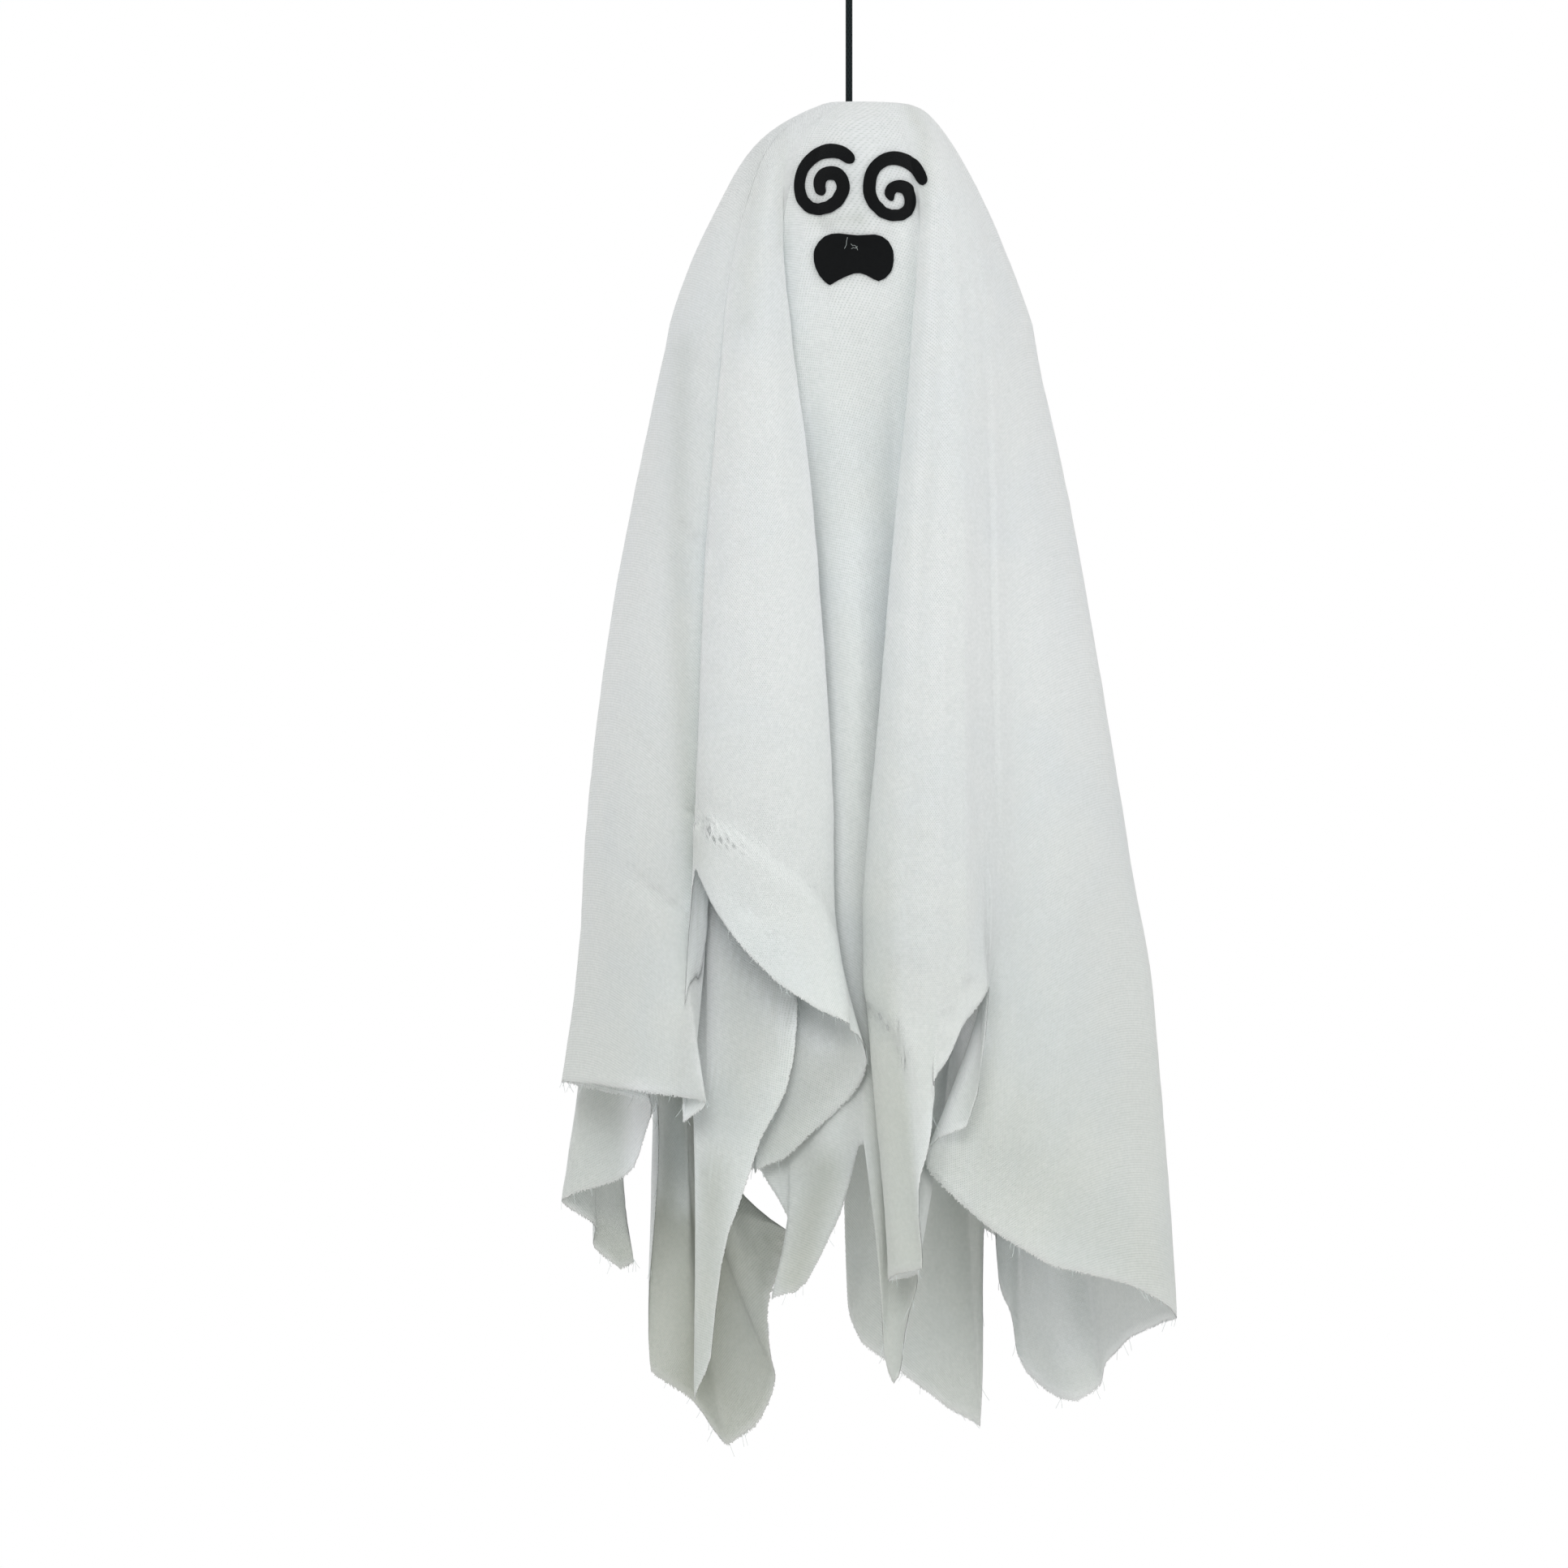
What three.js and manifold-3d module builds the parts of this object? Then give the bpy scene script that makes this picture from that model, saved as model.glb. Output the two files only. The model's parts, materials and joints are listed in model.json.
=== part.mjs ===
// A hanging ghost that shakes: a square of thin voile over a small plastic head with a motor inside.
// Millimetres, +Z up. The origin is the point of the hanging loop that bears on its hook.
// The figure faces -Y, and a "drop" is a distance down from the crown of the cloth.
import * as THREE from "three";
import { mergeVertices } from "three/addons/utils/BufferGeometryUtils.js";
import Module from "manifold-3d";

const wasm = await Module();
wasm.setup();

// Fits
const CLEARANCE = 0.3;
const RUNNING_CLEARANCE = 0.35;
const SCREW_CLEARANCE = 0.3;
const WIRE_CLEARANCE = 0.6;

// Hanging cord
const CORD_DIAMETER = 2.6;
const CORD_FREE_LENGTH = 44;
const CORD_SIDES = 8;
const LOOP_HEIGHT = 18;
const LOOP_HALF_WIDTH = 6.5;
const LOOP_KNOT_HEIGHT = 6;
const LOOP_KNOT_RADIUS = 3.4;

// Stopper inside the head
const STOPPER_RADIUS = 3.2;
const STOPPER_HEIGHT = 5.5;
const WASHER_RADIUS = 5.5;
const WASHER_THICKNESS = 1;

// Head
const FIGURE_X = 4;
const HEAD_TOP_DROP = 3;
const HEAD_RADIUS = 30.5;
const HEAD_WALL = 2;
const HEAD_SIDES = 36;
const NECK_RADIUS = 13;
const HEAD_BOSS_RADIUS = 4.4;
const UPPER_BOSS_SIDE = 21.5;
const LOWER_BOSS_SIDE = 18.5;
const BOSS_SPREAD = 36;
const HEAD_SCREW_SEAT_Y = 12;
const HEAD_SCREW_LENGTH = 20;

// Screws
const SCREW_HEAD_RADIUS = 2.6;
const SCREW_HEAD_HEIGHT = 1.8;
const SCREW_SHANK_RADIUS = 1.2;

// Motor and its weight
const SHAFT_HEADROOM = 1.5;
const SHAFT_RADIUS = 1;
const SHAFT_STICKOUT = 1.5;
const SHAFT_DEPTH_IN_CAN = 22;
const WEIGHT_RADIUS = 11;
const WEIGHT_HUB_RADIUS = 3.5;
const WEIGHT_THICKNESS = 7;
const WEIGHT_GAP = 3;
const MOTOR_RADIUS = 10;
const MOTOR_HALF_FLATS = 7.5;
const MOTOR_LENGTH = 25;
const MOTOR_BOSS_RADIUS = 3;
const MOTOR_BOSS_HEIGHT = 1.5;
const MOTOR_CAP_LENGTH = 3;
const MOTOR_TAB_LENGTH = 3;
const MOTOR_TAB_WIDTH = 2.4;
const MOTOR_TAB_THICKNESS = 0.6;
const MOTOR_TAB_SPACING = 5;

// Motor cradle
const CRADLE_SETBACK = 3;
const CRADLE_LENGTH = 16;
const CRADLE_WALL = 3;
const CRADLE_EAR_WIDTH = 7;
const CRADLE_EAR_THICKNESS = 4;
const CRADLE_EAR_LENGTH = 10;
const CRADLE_BOSS_RADIUS = 3.6;
const CRADLE_SCREW_LENGTH = 12;

// Circuit board
const MOTOR_TO_BOARD = 9;
const FLANGE_RADIUS = 14.6;
const FLANGE_THICKNESS = 2;
const POST_HEIGHT = 4.6;
const POST_RADIUS = 2.2;
const POST_SPACING = 9;
const BOARD_HALF_LENGTH = 13;
const BOARD_HALF_WIDTH = 9;
const BOARD_THICKNESS = 1.6;
const BOARD_SCREW_SHANK_RADIUS = 0.9;
const BOARD_SCREW_HEAD_RADIUS = 1.8;
const BOARD_SCREW_HEAD_HEIGHT = 1.2;
const BOARD_SCREW_LENGTH = 5;
const SENSOR_RADIUS = 3;
const SENSOR_HEIGHT = 4;
const SENSOR_Y = 5;

// Batteries and their case
const CELL_RADIUS = 7.1;
const CELL_LENGTH = 49.2;
const CELL_NUB_RADIUS = 2.7;
const CELL_NUB_LENGTH = 1.3;
const CELL_SIDE_GAP = 0.4;
const PLATE_THICKNESS = 0.5;
const SPRING_LENGTH = 4.5;
const SPRING_RADIUS = 4;
const SPRING_WIRE_RADIUS = 0.45;
const SPRING_TURNS = 2.5;
const CASE_WALL = 1.8;
const CASE_FRONT_GAP = 1.1;
const CASE_BACK_GAP = 1.1;
const CASE_SIDE_GAP = 0.6;
const BAY_HEIGHT = 7;
const DOOR_THICKNESS = 1.6;
const DOOR_RIDGES = 4;
const DOOR_RIDGE_PITCH = 3;
const DOOR_RIDGE_HEIGHT = 0.7;
const DOOR_RIDGE_HALF_LENGTH = 8;
const RAIL_LIP = 1.8;
const RAIL_THICKNESS = 1.5;

// Slide switch
const SWITCH_HALF_LENGTH = 5;
const SWITCH_HALF_WIDTH = 2.6;
const SWITCH_HEIGHT = 4;
const KNOB_HALF_LENGTH = 1.6;
const KNOB_HALF_WIDTH = 1.3;
const KNOB_PROTRUSION = 2.2;
const KNOB_TRAVEL = 3;

// Wires
const WIRE_RADIUS = 0.6;
const WIRE_SIDES = 6;
const WIRE_SPACING = 1.2;
const MOTOR_WIRE_SPREAD = 2;
const MOTOR_WIRE_LANDING = 4;
// Each motor wire's way down, as shares of its fall, of its spread and of its reach forward.
const MOTOR_WIRE_ROUTE = [
  [0, 0, 0],
  [0.3, 0.4, 0.15],
  [0.6, 1, 0.6],
  [1, 1, 1],
];

// Cloth
const CLOTH_THICKNESS = 0.6;
const CLOTH_TO_HEAD = 1.3;
const CLOTH_HOLE_RADIUS = 2.3;
const TEMPLE_DROP = 22;
const CHIN_DROP = 84;
const WAIST_DROP = 303;
const TEMPLE_HALF_DEPTH = 31.5;
const CROWN_DROPS = [0, 1.6, 6, 12.5, TEMPLE_DROP, CHIN_DROP];
const SKIRT_SHARES = [0.3, 0.6, 0.82, 1];
const CHIN_TO_WAIST_EASE = 1.4;
const WAIST_TO_HEM_EASE = 1.5;
const FELT_THICKNESS = 1;
const FELT_GAP = 0.95;
const EYE_STROKE = 4.7;
const EYE_PITCH = 8.2;
const EYE_OUTER_RADIUS = 13.6;

// The cloth's outline seen from the front, down to the chin: drop, middle x, half width.
const OUTLINE = [
  [0, 9, 13.5],
  [2.5, 7.4, 20],
  [5, 5.2, 25.8],
  [10, 2.9, 32.4],
  [15, 1.4, 37],
  [TEMPLE_DROP, 1.25, 42],
  [35, 1.7, 48.7],
  [47, 1.55, 54.6],
  [59, 0.8, 60],
  [72, 0.6, 64.8],
  [CHIN_DROP, 0.6, 68.5],
];

// The folds of the cloth, going round by the front from the left side, one column of cloth a line:
// x, y at the chin, then x, y at the waist, then x, y and drop of its end at the hem,
// and where a tongue swings out sideways, how late it does so.
const FOLDS = [
  [-67.9, -4, -101.5, -8, -107, -10, 370],
  [-63, -20, -93, -38, -96, -40, 371],
  [-55, -33, -79, -58, -78, -62, 374],
  [-48, -40, -64, -68, -54, -82, 378],
  [-46, -37, -52, -62, -63, -69, 386],
  [-47, -43, -58, -82, -56.5, -80, 288],
  [-40, -49, -46, -92, -44, -94, 316],
  [-33, -50, -29, -94, -28, -96, 332],
  [-27, -46, -14, -88, -12, -92, 343],
  [-23.2, -41, -7.4, -77, 2.5, -84, 352],
  [-26.5, -38, -14, -68, 6, -72, 368],
  [-28.5, -36.5, -30, -64, -17, -68, 395],
  [-30, -35, -43, -58, -37, -66, 402],
  [-31, -33.5, -48, -54, -47, -64, 432],
  [-31.5, -31.5, -54, -49, -58.5, -58, 490],
  [-28.5, -30.5, -48, -45, -52, -52, 404],
  [-25, -31.5, -38, -49, -34, -50, 403],
  [-20.5, -32.2, -24, -58, -28, -55, 452],
  [-15, -32.5, -14, -60, -17.8, -57, 449],
  [-7, -32.8, -6, -64, -2.5, -60, 418],
  [2, -33, 2, -65, 5, -60, 389],
  [11, -32.8, 14, -62, 10, -62, 428],
  [19, -32.2, 30, -58, 14.5, -64, 464],
  [25.5, -30.5, 43, -59, 17.5, -66, 485],
  [28.5, -33, 34, -64, 21.5, -70, 456],
  [26.5, -37, 16, -70, 15, -78, 446],
  [24.2, -41, 4.5, -78, 18, -88, 443],
  [29, -47, 14, -90, 27, -94, 441],
  [37, -48, 30, -95, 32, -98, 376],
  [43, -45, 44, -92, 43, -96, 350],
  [48, -40, 54, -80, 53, -86, 333],
  [49, -37, 46, -68, 47, -76, 386],
  [51, -35, 44, -60, 33, -70, 400],
  [55, -31, 62, -58, 52, -68, 425],
  [61, -23, 84, -50, 77, -64, 440],
  [66, -12, 101.5, -28, 106, -46, 447],
  [69.2, 2, 109.3, -2, 122.5, -14, 459],
  [67, 14, 104, 20, 119, 10, 461],
  [61, 25, 93, 37, 106, 28, 468],
  [55, 35, 82, 54, 95, 46, 484],
  [48, 38, 69, 44, 86.3, 44, 491.4],
  [43, 46, 64, 64, 66, 58, 481],
  [36, 41, 52, 46, 55.5, 44, 432],
  [31, 51, 52, 68, 52, 60, 425],
  [24, 53, 42, 72, 50.7, 62, 501],
  [18, 44, 31, 48, 26, 54, 485],
  [11, 44, 17, 44, 3, 46, 467],
  [6, 54, 10, 70, -2.5, 60, 400],
  [-3, 56, -10, 74, -20, 66, 394],
  [-11, 46, -24, 50, -38, 56, 396],
  [-19, 54, -44, 66, -44, 50, 418],
  [-26, 46, -48, 50, -24, 44, 427, 6],
  [-31, 48, -54, 46, -29.5, 42, 455, 4],
  [-35, 53, -62, 64, -28, 48, 485, 2.5],
  [-41, 51, -68, 66, -46, 58, 508],
  [-44, 41, -66, 48, -60, 46, 490],
  [-50, 42, -76, 52, -75.5, 54, 479],
  [-54, 33, -76, 38, -72, 42, 380],
  [-59, 29, -90, 40, -85, 40, 440],
  [-64, 18, -98, 20, -108, 8, 416],
  [-63, 9, -88, 7, -86, -3, 406],
  [-67, 4, -87, -3, -74, -16, 380],
];

// The face: x and drop of each eye's middle, with the angle in degrees where its spiral starts.
const EYES = {
  left_eye_felt: { x: -8.7, drop: 32.3, start: 49 },
  right_eye_felt: { x: 17, drop: 34.8, start: 29 },
};
const EYE_SWEEP = 525;
const EYE_STEPS = 40;
const EYE_TIP_SHARE = 0.12;

// The mouth's upper and lower edge, as x and drop.
const MOUTH_TOP = [
  [-13.4, 59.6],
  [-11.5, 53.9],
  [-6.8, 50.9],
  [-0.3, 51],
  [6.3, 51.2],
  [12, 51.6],
  [15.9, 55.9],
  [16.6, 59.2],
];
const MOUTH_BOTTOM = [
  [-13.4, 59.6],
  [-12.7, 63.7],
  [-7.4, 70.2],
  [-4.3, 68.4],
  [-1.1, 66.8],
  [3, 65.6],
  [6.3, 66.3],
  [11, 68.7],
  [13.4, 67.6],
  [16.3, 63.3],
  [16.6, 59.2],
];
const MOUTH_STEPS = 16;
const MOUTH_ROWS = 4;

const CORD_RADIUS = CORD_DIAMETER / 2;
const CROWN_Z = -(LOOP_HEIGHT + LOOP_KNOT_HEIGHT + CORD_FREE_LENGTH);
const WELD = 1e-4;
const THROUGH = 200;

// Places down through the head, as drops
const washerTop = HEAD_TOP_DROP + HEAD_WALL + CLEARANCE;
const knotTop = washerTop + WASHER_THICKNESS + CLEARANCE;
const knotBottom = knotTop + STOPPER_HEIGHT;
const shaftTop = knotBottom + SHAFT_HEADROOM;
const weightTop = shaftTop + SHAFT_STICKOUT;
const weightBottom = weightTop + WEIGHT_THICKNESS;
const motorBossTop = weightBottom + WEIGHT_GAP;
const canTop = motorBossTop + MOTOR_BOSS_HEIGHT;
const canBottom = canTop + MOTOR_LENGTH;
const capTop = canBottom + CLEARANCE;
const capBottom = capTop + MOTOR_CAP_LENGTH;
const tabBottom = capBottom + MOTOR_TAB_LENGTH;
const cradleTop = canTop + CRADLE_SETBACK;
const cradleMiddle = cradleTop + CRADLE_LENGTH / 2;
const boardTop = tabBottom + MOTOR_TO_BOARD;
const boardBottom = boardTop + BOARD_THICKNESS;
const flangeTop = boardBottom + POST_HEIGHT;
const flangeBottom = flangeTop + FLANGE_THICKNESS;
const headBottom = flangeBottom + CLEARANCE + HEAD_WALL;
const headHeight = headBottom - HEAD_TOP_DROP;
const headMiddle = (HEAD_TOP_DROP + headBottom) / 2;

// Places in the battery case, as drops
const caseTop = headBottom + CLEARANCE;
const cellRoomTop = caseTop + CASE_WALL;
const topPlateTop = cellRoomTop + CLEARANCE;
const topPlateBottom = topPlateTop + PLATE_THICKNESS;
const contactLength = SPRING_LENGTH + 2 * CLEARANCE;
const cellStackLength = CELL_NUB_LENGTH + CELL_LENGTH + CLEARANCE + contactLength;
const bridgeTop = topPlateBottom + cellStackLength;
const cellRoomBottom = bridgeTop + PLATE_THICKNESS + CLEARANCE;
const bayTop = cellRoomBottom + CASE_WALL;
const bayBottom = bayTop + BAY_HEIGHT;
const caseBottom = bayBottom + CASE_WALL;

// Sizes of the battery case across
const cellSide = CELL_RADIUS + CELL_SIDE_GAP;
const roomHalfWidth = cellSide + CELL_RADIUS + CASE_SIDE_GAP;
const caseHalfWidth = roomHalfWidth + CASE_WALL;
const roomFront = -CELL_RADIUS - CASE_FRONT_GAP;
const caseFront = roomFront - CASE_WALL;
const doorFront = CELL_RADIUS + CASE_BACK_GAP + CLEARANCE;
const doorBack = doorFront + DOOR_THICKNESS;
const caseBack = doorFront - CLEARANCE;
const railFront = doorBack + CLEARANCE;
const railBack = railFront + RAIL_THICKNESS;
const wireY = (roomFront - CELL_RADIUS) / 2 + WIRE_RADIUS;

// Solids

function toSolid(geometry) {
  const bare = geometry.clone();
  bare.deleteAttribute("normal");
  bare.deleteAttribute("uv");
  const merged = mergeVertices(bare, WELD);
  const triVerts = [];
  for (let i = 0; i < merged.index.count; i += 3) {
    const [a, b, c] = [0, 1, 2].map((k) => merged.index.getX(i + k));
    if (a !== b && b !== c && c !== a) triVerts.push(a, b, c);
  }
  const mesh = new wasm.Mesh({
    numProp: 3,
    vertProperties: new Float32Array(merged.attributes.position.array),
    triVerts: new Uint32Array(triVerts),
  });
  return new wasm.Manifold(mesh);
}

function toGeometry(solid) {
  const mesh = solid.getMesh();
  const geometry = new THREE.BufferGeometry();
  geometry.setAttribute("position", new THREE.BufferAttribute(mesh.vertProperties, mesh.numProp));
  geometry.setIndex(new THREE.BufferAttribute(mesh.triVerts, 1));
  geometry.computeVertexNormals();
  return geometry;
}

const join = (...solids) => solids.reduce((whole, solid) => whole.add(solid));
const cut = (solid, ...tools) => tools.reduce((rest, tool) => rest.subtract(tool), solid);
const heightOf = (drop) => CROWN_Z - drop;

// A box between two x, two y and two drops.
function box(x0, x1, y0, y1, dropTop, dropBottom) {
  const geometry = new THREE.BoxGeometry(x1 - x0, y1 - y0, dropBottom - dropTop);
  geometry.translate((x0 + x1) / 2, (y0 + y1) / 2, heightOf((dropTop + dropBottom) / 2));
  return toSolid(geometry);
}

// An upright rod between two drops.
function rod(radius, dropTop, dropBottom, x, y, sides = 20) {
  const geometry = new THREE.CylinderGeometry(radius, radius, dropBottom - dropTop, sides);
  geometry.rotateX(Math.PI / 2);
  geometry.translate(x, y, heightOf((dropTop + dropBottom) / 2));
  return toSolid(geometry);
}

// A rod along Y between two y.
function rodAlongY(radius, y0, y1, x, drop, sides = 20) {
  const geometry = new THREE.CylinderGeometry(radius, radius, y1 - y0, sides);
  geometry.translate(x, (y0 + y1) / 2, heightOf(drop));
  return toSolid(geometry);
}

// A turned solid on an upright axis, from a profile of radius and drop that runs from the top down.
function turned(profile, x, y, sides) {
  const points = profile.map(([radius, drop]) => new THREE.Vector2(radius, heightOf(drop)));
  const geometry = new THREE.LatheGeometry(points.reverse(), sides);
  geometry.rotateX(Math.PI / 2);
  geometry.translate(x, y, 0);
  return toSolid(geometry);
}

// A round tube along a curve.
function tube(curve, radius, sides, steps) {
  const section = new THREE.Shape();
  for (let i = 0; i < sides; i++) {
    const angle = (2 * Math.PI * i) / sides;
    const [u, v] = [radius * Math.cos(angle), radius * Math.sin(angle)];
    if (i === 0) section.moveTo(u, v);
    else section.lineTo(u, v);
  }
  const options = { steps, bevelEnabled: false, extrudePath: curve };
  return toSolid(new THREE.ExtrudeGeometry(section, options));
}

const curveThrough = (points) =>
  new THREE.CatmullRomCurve3(points.map(([x, y, drop]) => new THREE.Vector3(x, y, heightOf(drop))));

// A value read off a list of rows by its first entry, straight between them.
function readOff(rows, at, entry) {
  const next = rows.findIndex((row) => row[0] >= at);
  if (next === 0) return rows[0][entry];
  if (next < 0) return rows[rows.length - 1][entry];
  const [a, b] = [rows[next - 1], rows[next]];
  return a[entry] + ((b[entry] - a[entry]) * (at - a[0])) / (b[0] - a[0]);
}

// A thin plate over a grid of points, as thick as given, closed round when its columns go all round.
function plate(grid, thickness, closed) {
  const columns = grid.length;
  const rows = grid[0].length;
  const spans = closed ? columns : columns - 1;
  const normals = grid.map((column) => column.map(() => new THREE.Vector3()));
  const corners = (i, j) => [
    [i, j],
    [i, j + 1],
    [(i + 1) % columns, j + 1],
    [(i + 1) % columns, j],
  ];
  const triangles = ([a, b, c, d]) => [
    [a, b, c],
    [a, c, d],
  ];
  for (let i = 0; i < spans; i++)
    for (let j = 0; j < rows - 1; j++)
      for (const three of triangles(corners(i, j))) {
        const [p, q, r] = three.map(([u, v]) => grid[u][v]);
        const across = new THREE.Vector3().subVectors(q, p).cross(new THREE.Vector3().subVectors(r, p));
        three.forEach(([u, v]) => normals[u][v].add(across));
      }
  const positions = [];
  for (const side of [1, -1])
    for (let i = 0; i < columns; i++)
      for (let j = 0; j < rows; j++) {
        const out = normals[i][j].clone().setLength((side * thickness) / 2);
        positions.push(...grid[i][j].clone().add(out).toArray());
      }
  const at = (side, [i, j]) => (side * columns + i) * rows + j;
  const index = [];
  const quad = (a, b, c, d) => index.push(a, b, c, a, c, d);
  for (let i = 0; i < spans; i++)
    for (let j = 0; j < rows - 1; j++)
      for (const [a, b, c] of triangles(corners(i, j))) {
        index.push(at(0, a), at(0, b), at(0, c));
        index.push(at(1, a), at(1, c), at(1, b));
      }
  for (let i = 0; i < spans; i++) {
    const k = (i + 1) % columns;
    quad(at(0, [k, 0]), at(1, [k, 0]), at(1, [i, 0]), at(0, [i, 0]));
    quad(at(0, [i, rows - 1]), at(1, [i, rows - 1]), at(1, [k, rows - 1]), at(0, [k, rows - 1]));
  }
  if (!closed)
    for (let j = 0; j < rows - 1; j++) {
      const last = columns - 1;
      quad(at(0, [0, j]), at(1, [0, j]), at(1, [0, j + 1]), at(0, [0, j + 1]));
      quad(at(0, [last, j + 1]), at(1, [last, j + 1]), at(1, [last, j]), at(0, [last, j]));
    }
  const geometry = new THREE.BufferGeometry();
  geometry.setAttribute("position", new THREE.Float32BufferAttribute(positions, 3));
  geometry.setIndex(index);
  return toSolid(geometry);
}

// Hanging cord, loop and stopper

function hangingLoop() {
  const topZ = CORD_RADIUS;
  const footZ = -LOOP_HEIGHT + CLEARANCE;
  const half = [
    [CORD_RADIUS + CLEARANCE, footZ],
    [LOOP_HALF_WIDTH * 0.6, footZ * 0.75],
    [LOOP_HALF_WIDTH, footZ * 0.38],
    [LOOP_HALF_WIDTH * 0.72, footZ * 0.05],
  ];
  const points = [
    ...half.map(([x, z]) => new THREE.Vector3(-x, 0, z)),
    new THREE.Vector3(0, 0, topZ),
    ...half.reverse().map(([x, z]) => new THREE.Vector3(x, 0, z)),
  ];
  const rope = tube(new THREE.CatmullRomCurve3(points), CORD_RADIUS, CORD_SIDES, 24);
  const knotTopDrop = -CORD_FREE_LENGTH - LOOP_KNOT_HEIGHT;
  return cut(rope, box(-THROUGH, THROUGH, -THROUGH, THROUGH, knotTopDrop - CLEARANCE, 0));
}

function loopKnot() {
  const bottom = -CORD_FREE_LENGTH;
  const top = bottom - LOOP_KNOT_HEIGHT;
  const shoulder = LOOP_KNOT_RADIUS * 0.7;
  const profile = [
    [0, top],
    [shoulder, top],
    [LOOP_KNOT_RADIUS, top + LOOP_KNOT_HEIGHT * 0.3],
    [LOOP_KNOT_RADIUS, top + LOOP_KNOT_HEIGHT * 0.7],
    [shoulder, bottom],
    [0, bottom],
  ];
  return turned(profile, 0, 0, 12);
}

function hangingCord() {
  const path = new THREE.LineCurve3(
    new THREE.Vector3(0, 0, CROWN_Z),
    new THREE.Vector3(0, 0, -LOOP_HEIGHT - LOOP_KNOT_HEIGHT - CLEARANCE - CORD_RADIUS),
  );
  const ends = [path.v1, path.v2].map((end) => {
    const ball = new THREE.SphereGeometry(CORD_RADIUS, CORD_SIDES, 6);
    ball.rotateX(Math.PI / 2);
    ball.translate(end.x, end.y, end.z);
    return toSolid(ball);
  });
  return join(tube(path, CORD_RADIUS, CORD_SIDES, 8), ...ends);
}

function stopperKnot() {
  const tailTop = CORD_RADIUS + RUNNING_CLEARANCE;
  const profile = [
    [0, tailTop],
    [CORD_RADIUS, tailTop],
    [CORD_RADIUS, knotTop],
    [STOPPER_RADIUS, knotTop + STOPPER_HEIGHT * 0.25],
    [STOPPER_RADIUS, knotTop + STOPPER_HEIGHT * 0.7],
    [STOPPER_RADIUS * 0.6, knotBottom],
    [0, knotBottom],
  ];
  return turned(profile, 0, 0, 12);
}

function stopperWasher() {
  const washerBottom = washerTop + WASHER_THICKNESS;
  const hole = rod(CORD_RADIUS + CLEARANCE, washerTop - 1, washerBottom + 1, 0, 0, 12);
  return cut(rod(WASHER_RADIUS, washerTop, washerBottom, 0, 0), hole);
}

// Head

// The head's outline: share of its radius, share of its height from the top.
const HEAD_PROFILE = [
  [0.46, 0],
  [0.59, 0.03],
  [0.72, 0.076],
  [0.835, 0.14],
  [0.93, 0.225],
  [0.99, 0.335],
  [1, 0.44],
  [0.985, 0.55],
  [0.925, 0.67],
  [0.826, 0.785],
  [0.705, 0.88],
  [0.59, 0.947],
  [0.525, 1],
];

function headSolid(inset) {
  const radius = HEAD_RADIUS - inset;
  const height = headHeight - 2 * inset;
  const top = HEAD_TOP_DROP + inset;
  const profile = HEAD_PROFILE.map(([r, h]) => [r * radius, top + h * height]);
  return turned([[0, top], ...profile, [0, top + height]], FIGURE_X, 0, HEAD_SIDES);
}

function headRadiusAt(drop) {
  const share = (drop - HEAD_TOP_DROP) / headHeight;
  if (share < 0 || share > 1) return 0;
  const byHeight = HEAD_PROFILE.map(([r, h]) => [h, r]);
  return HEAD_RADIUS * readOff(byHeight, share, 1);
}

const headBosses = [
  { side: UPPER_BOSS_SIDE, drop: headMiddle - BOSS_SPREAD / 2 },
  { side: LOWER_BOSS_SIDE, drop: headMiddle + BOSS_SPREAD / 2 },
].flatMap(({ side, drop }) => [-side, side].map((offset) => ({ x: FIGURE_X + offset, drop })));
const cradleHalfWidth = MOTOR_RADIUS + CLEARANCE + CRADLE_WALL;
const cradleFront = -(MOTOR_HALF_FLATS + CLEARANCE + CRADLE_WALL);
const cradleScrewPlaces = [-1, 1].map((side) => ({
  x: FIGURE_X + side * (cradleHalfWidth + CRADLE_EAR_WIDTH / 2),
  drop: cradleMiddle,
}));
const earBack = cradleFront + CRADLE_EAR_THICKNESS;

function wholeHead() {
  const outside = headSolid(0);
  const shell = outside.subtract(headSolid(HEAD_WALL));
  const posts = headBosses.map(({ x, drop }) =>
    rodAlongY(HEAD_BOSS_RADIUS, -HEAD_RADIUS, HEAD_RADIUS, x, drop).intersect(outside),
  );
  const cradlePosts = cradleScrewPlaces.map(({ x, drop }) =>
    rodAlongY(CRADLE_BOSS_RADIUS, -HEAD_RADIUS, cradleFront - CLEARANCE, x, drop).intersect(outside),
  );
  const cordHole = rod(CORD_RADIUS + RUNNING_CLEARANCE, 0, washerTop, 0, 0, 12);
  const neck = rod(NECK_RADIUS, headMiddle, headBottom + 1, FIGURE_X, 0, HEAD_SIDES);
  return cut(join(shell, ...posts, ...cradlePosts), cordHole, neck);
}

function headFrontShell(head) {
  const holes = headBosses.map(({ x, drop }) => {
    const end = HEAD_SCREW_SEAT_Y - HEAD_SCREW_LENGTH - 1;
    return rodAlongY(SCREW_SHANK_RADIUS + SCREW_CLEARANCE, end, 1, x, drop, 12);
  });
  const cradleHoles = cradleScrewPlaces.map(({ x, drop }) => {
    const end = earBack - CRADLE_SCREW_LENGTH - 1;
    return rodAlongY(SCREW_SHANK_RADIUS + SCREW_CLEARANCE, end, cradleFront, x, drop, 12);
  });
  const front = box(-THROUGH, THROUGH, -THROUGH, -CLEARANCE / 2, -1, THROUGH);
  return cut(head.intersect(front), ...holes, ...cradleHoles);
}

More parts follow.
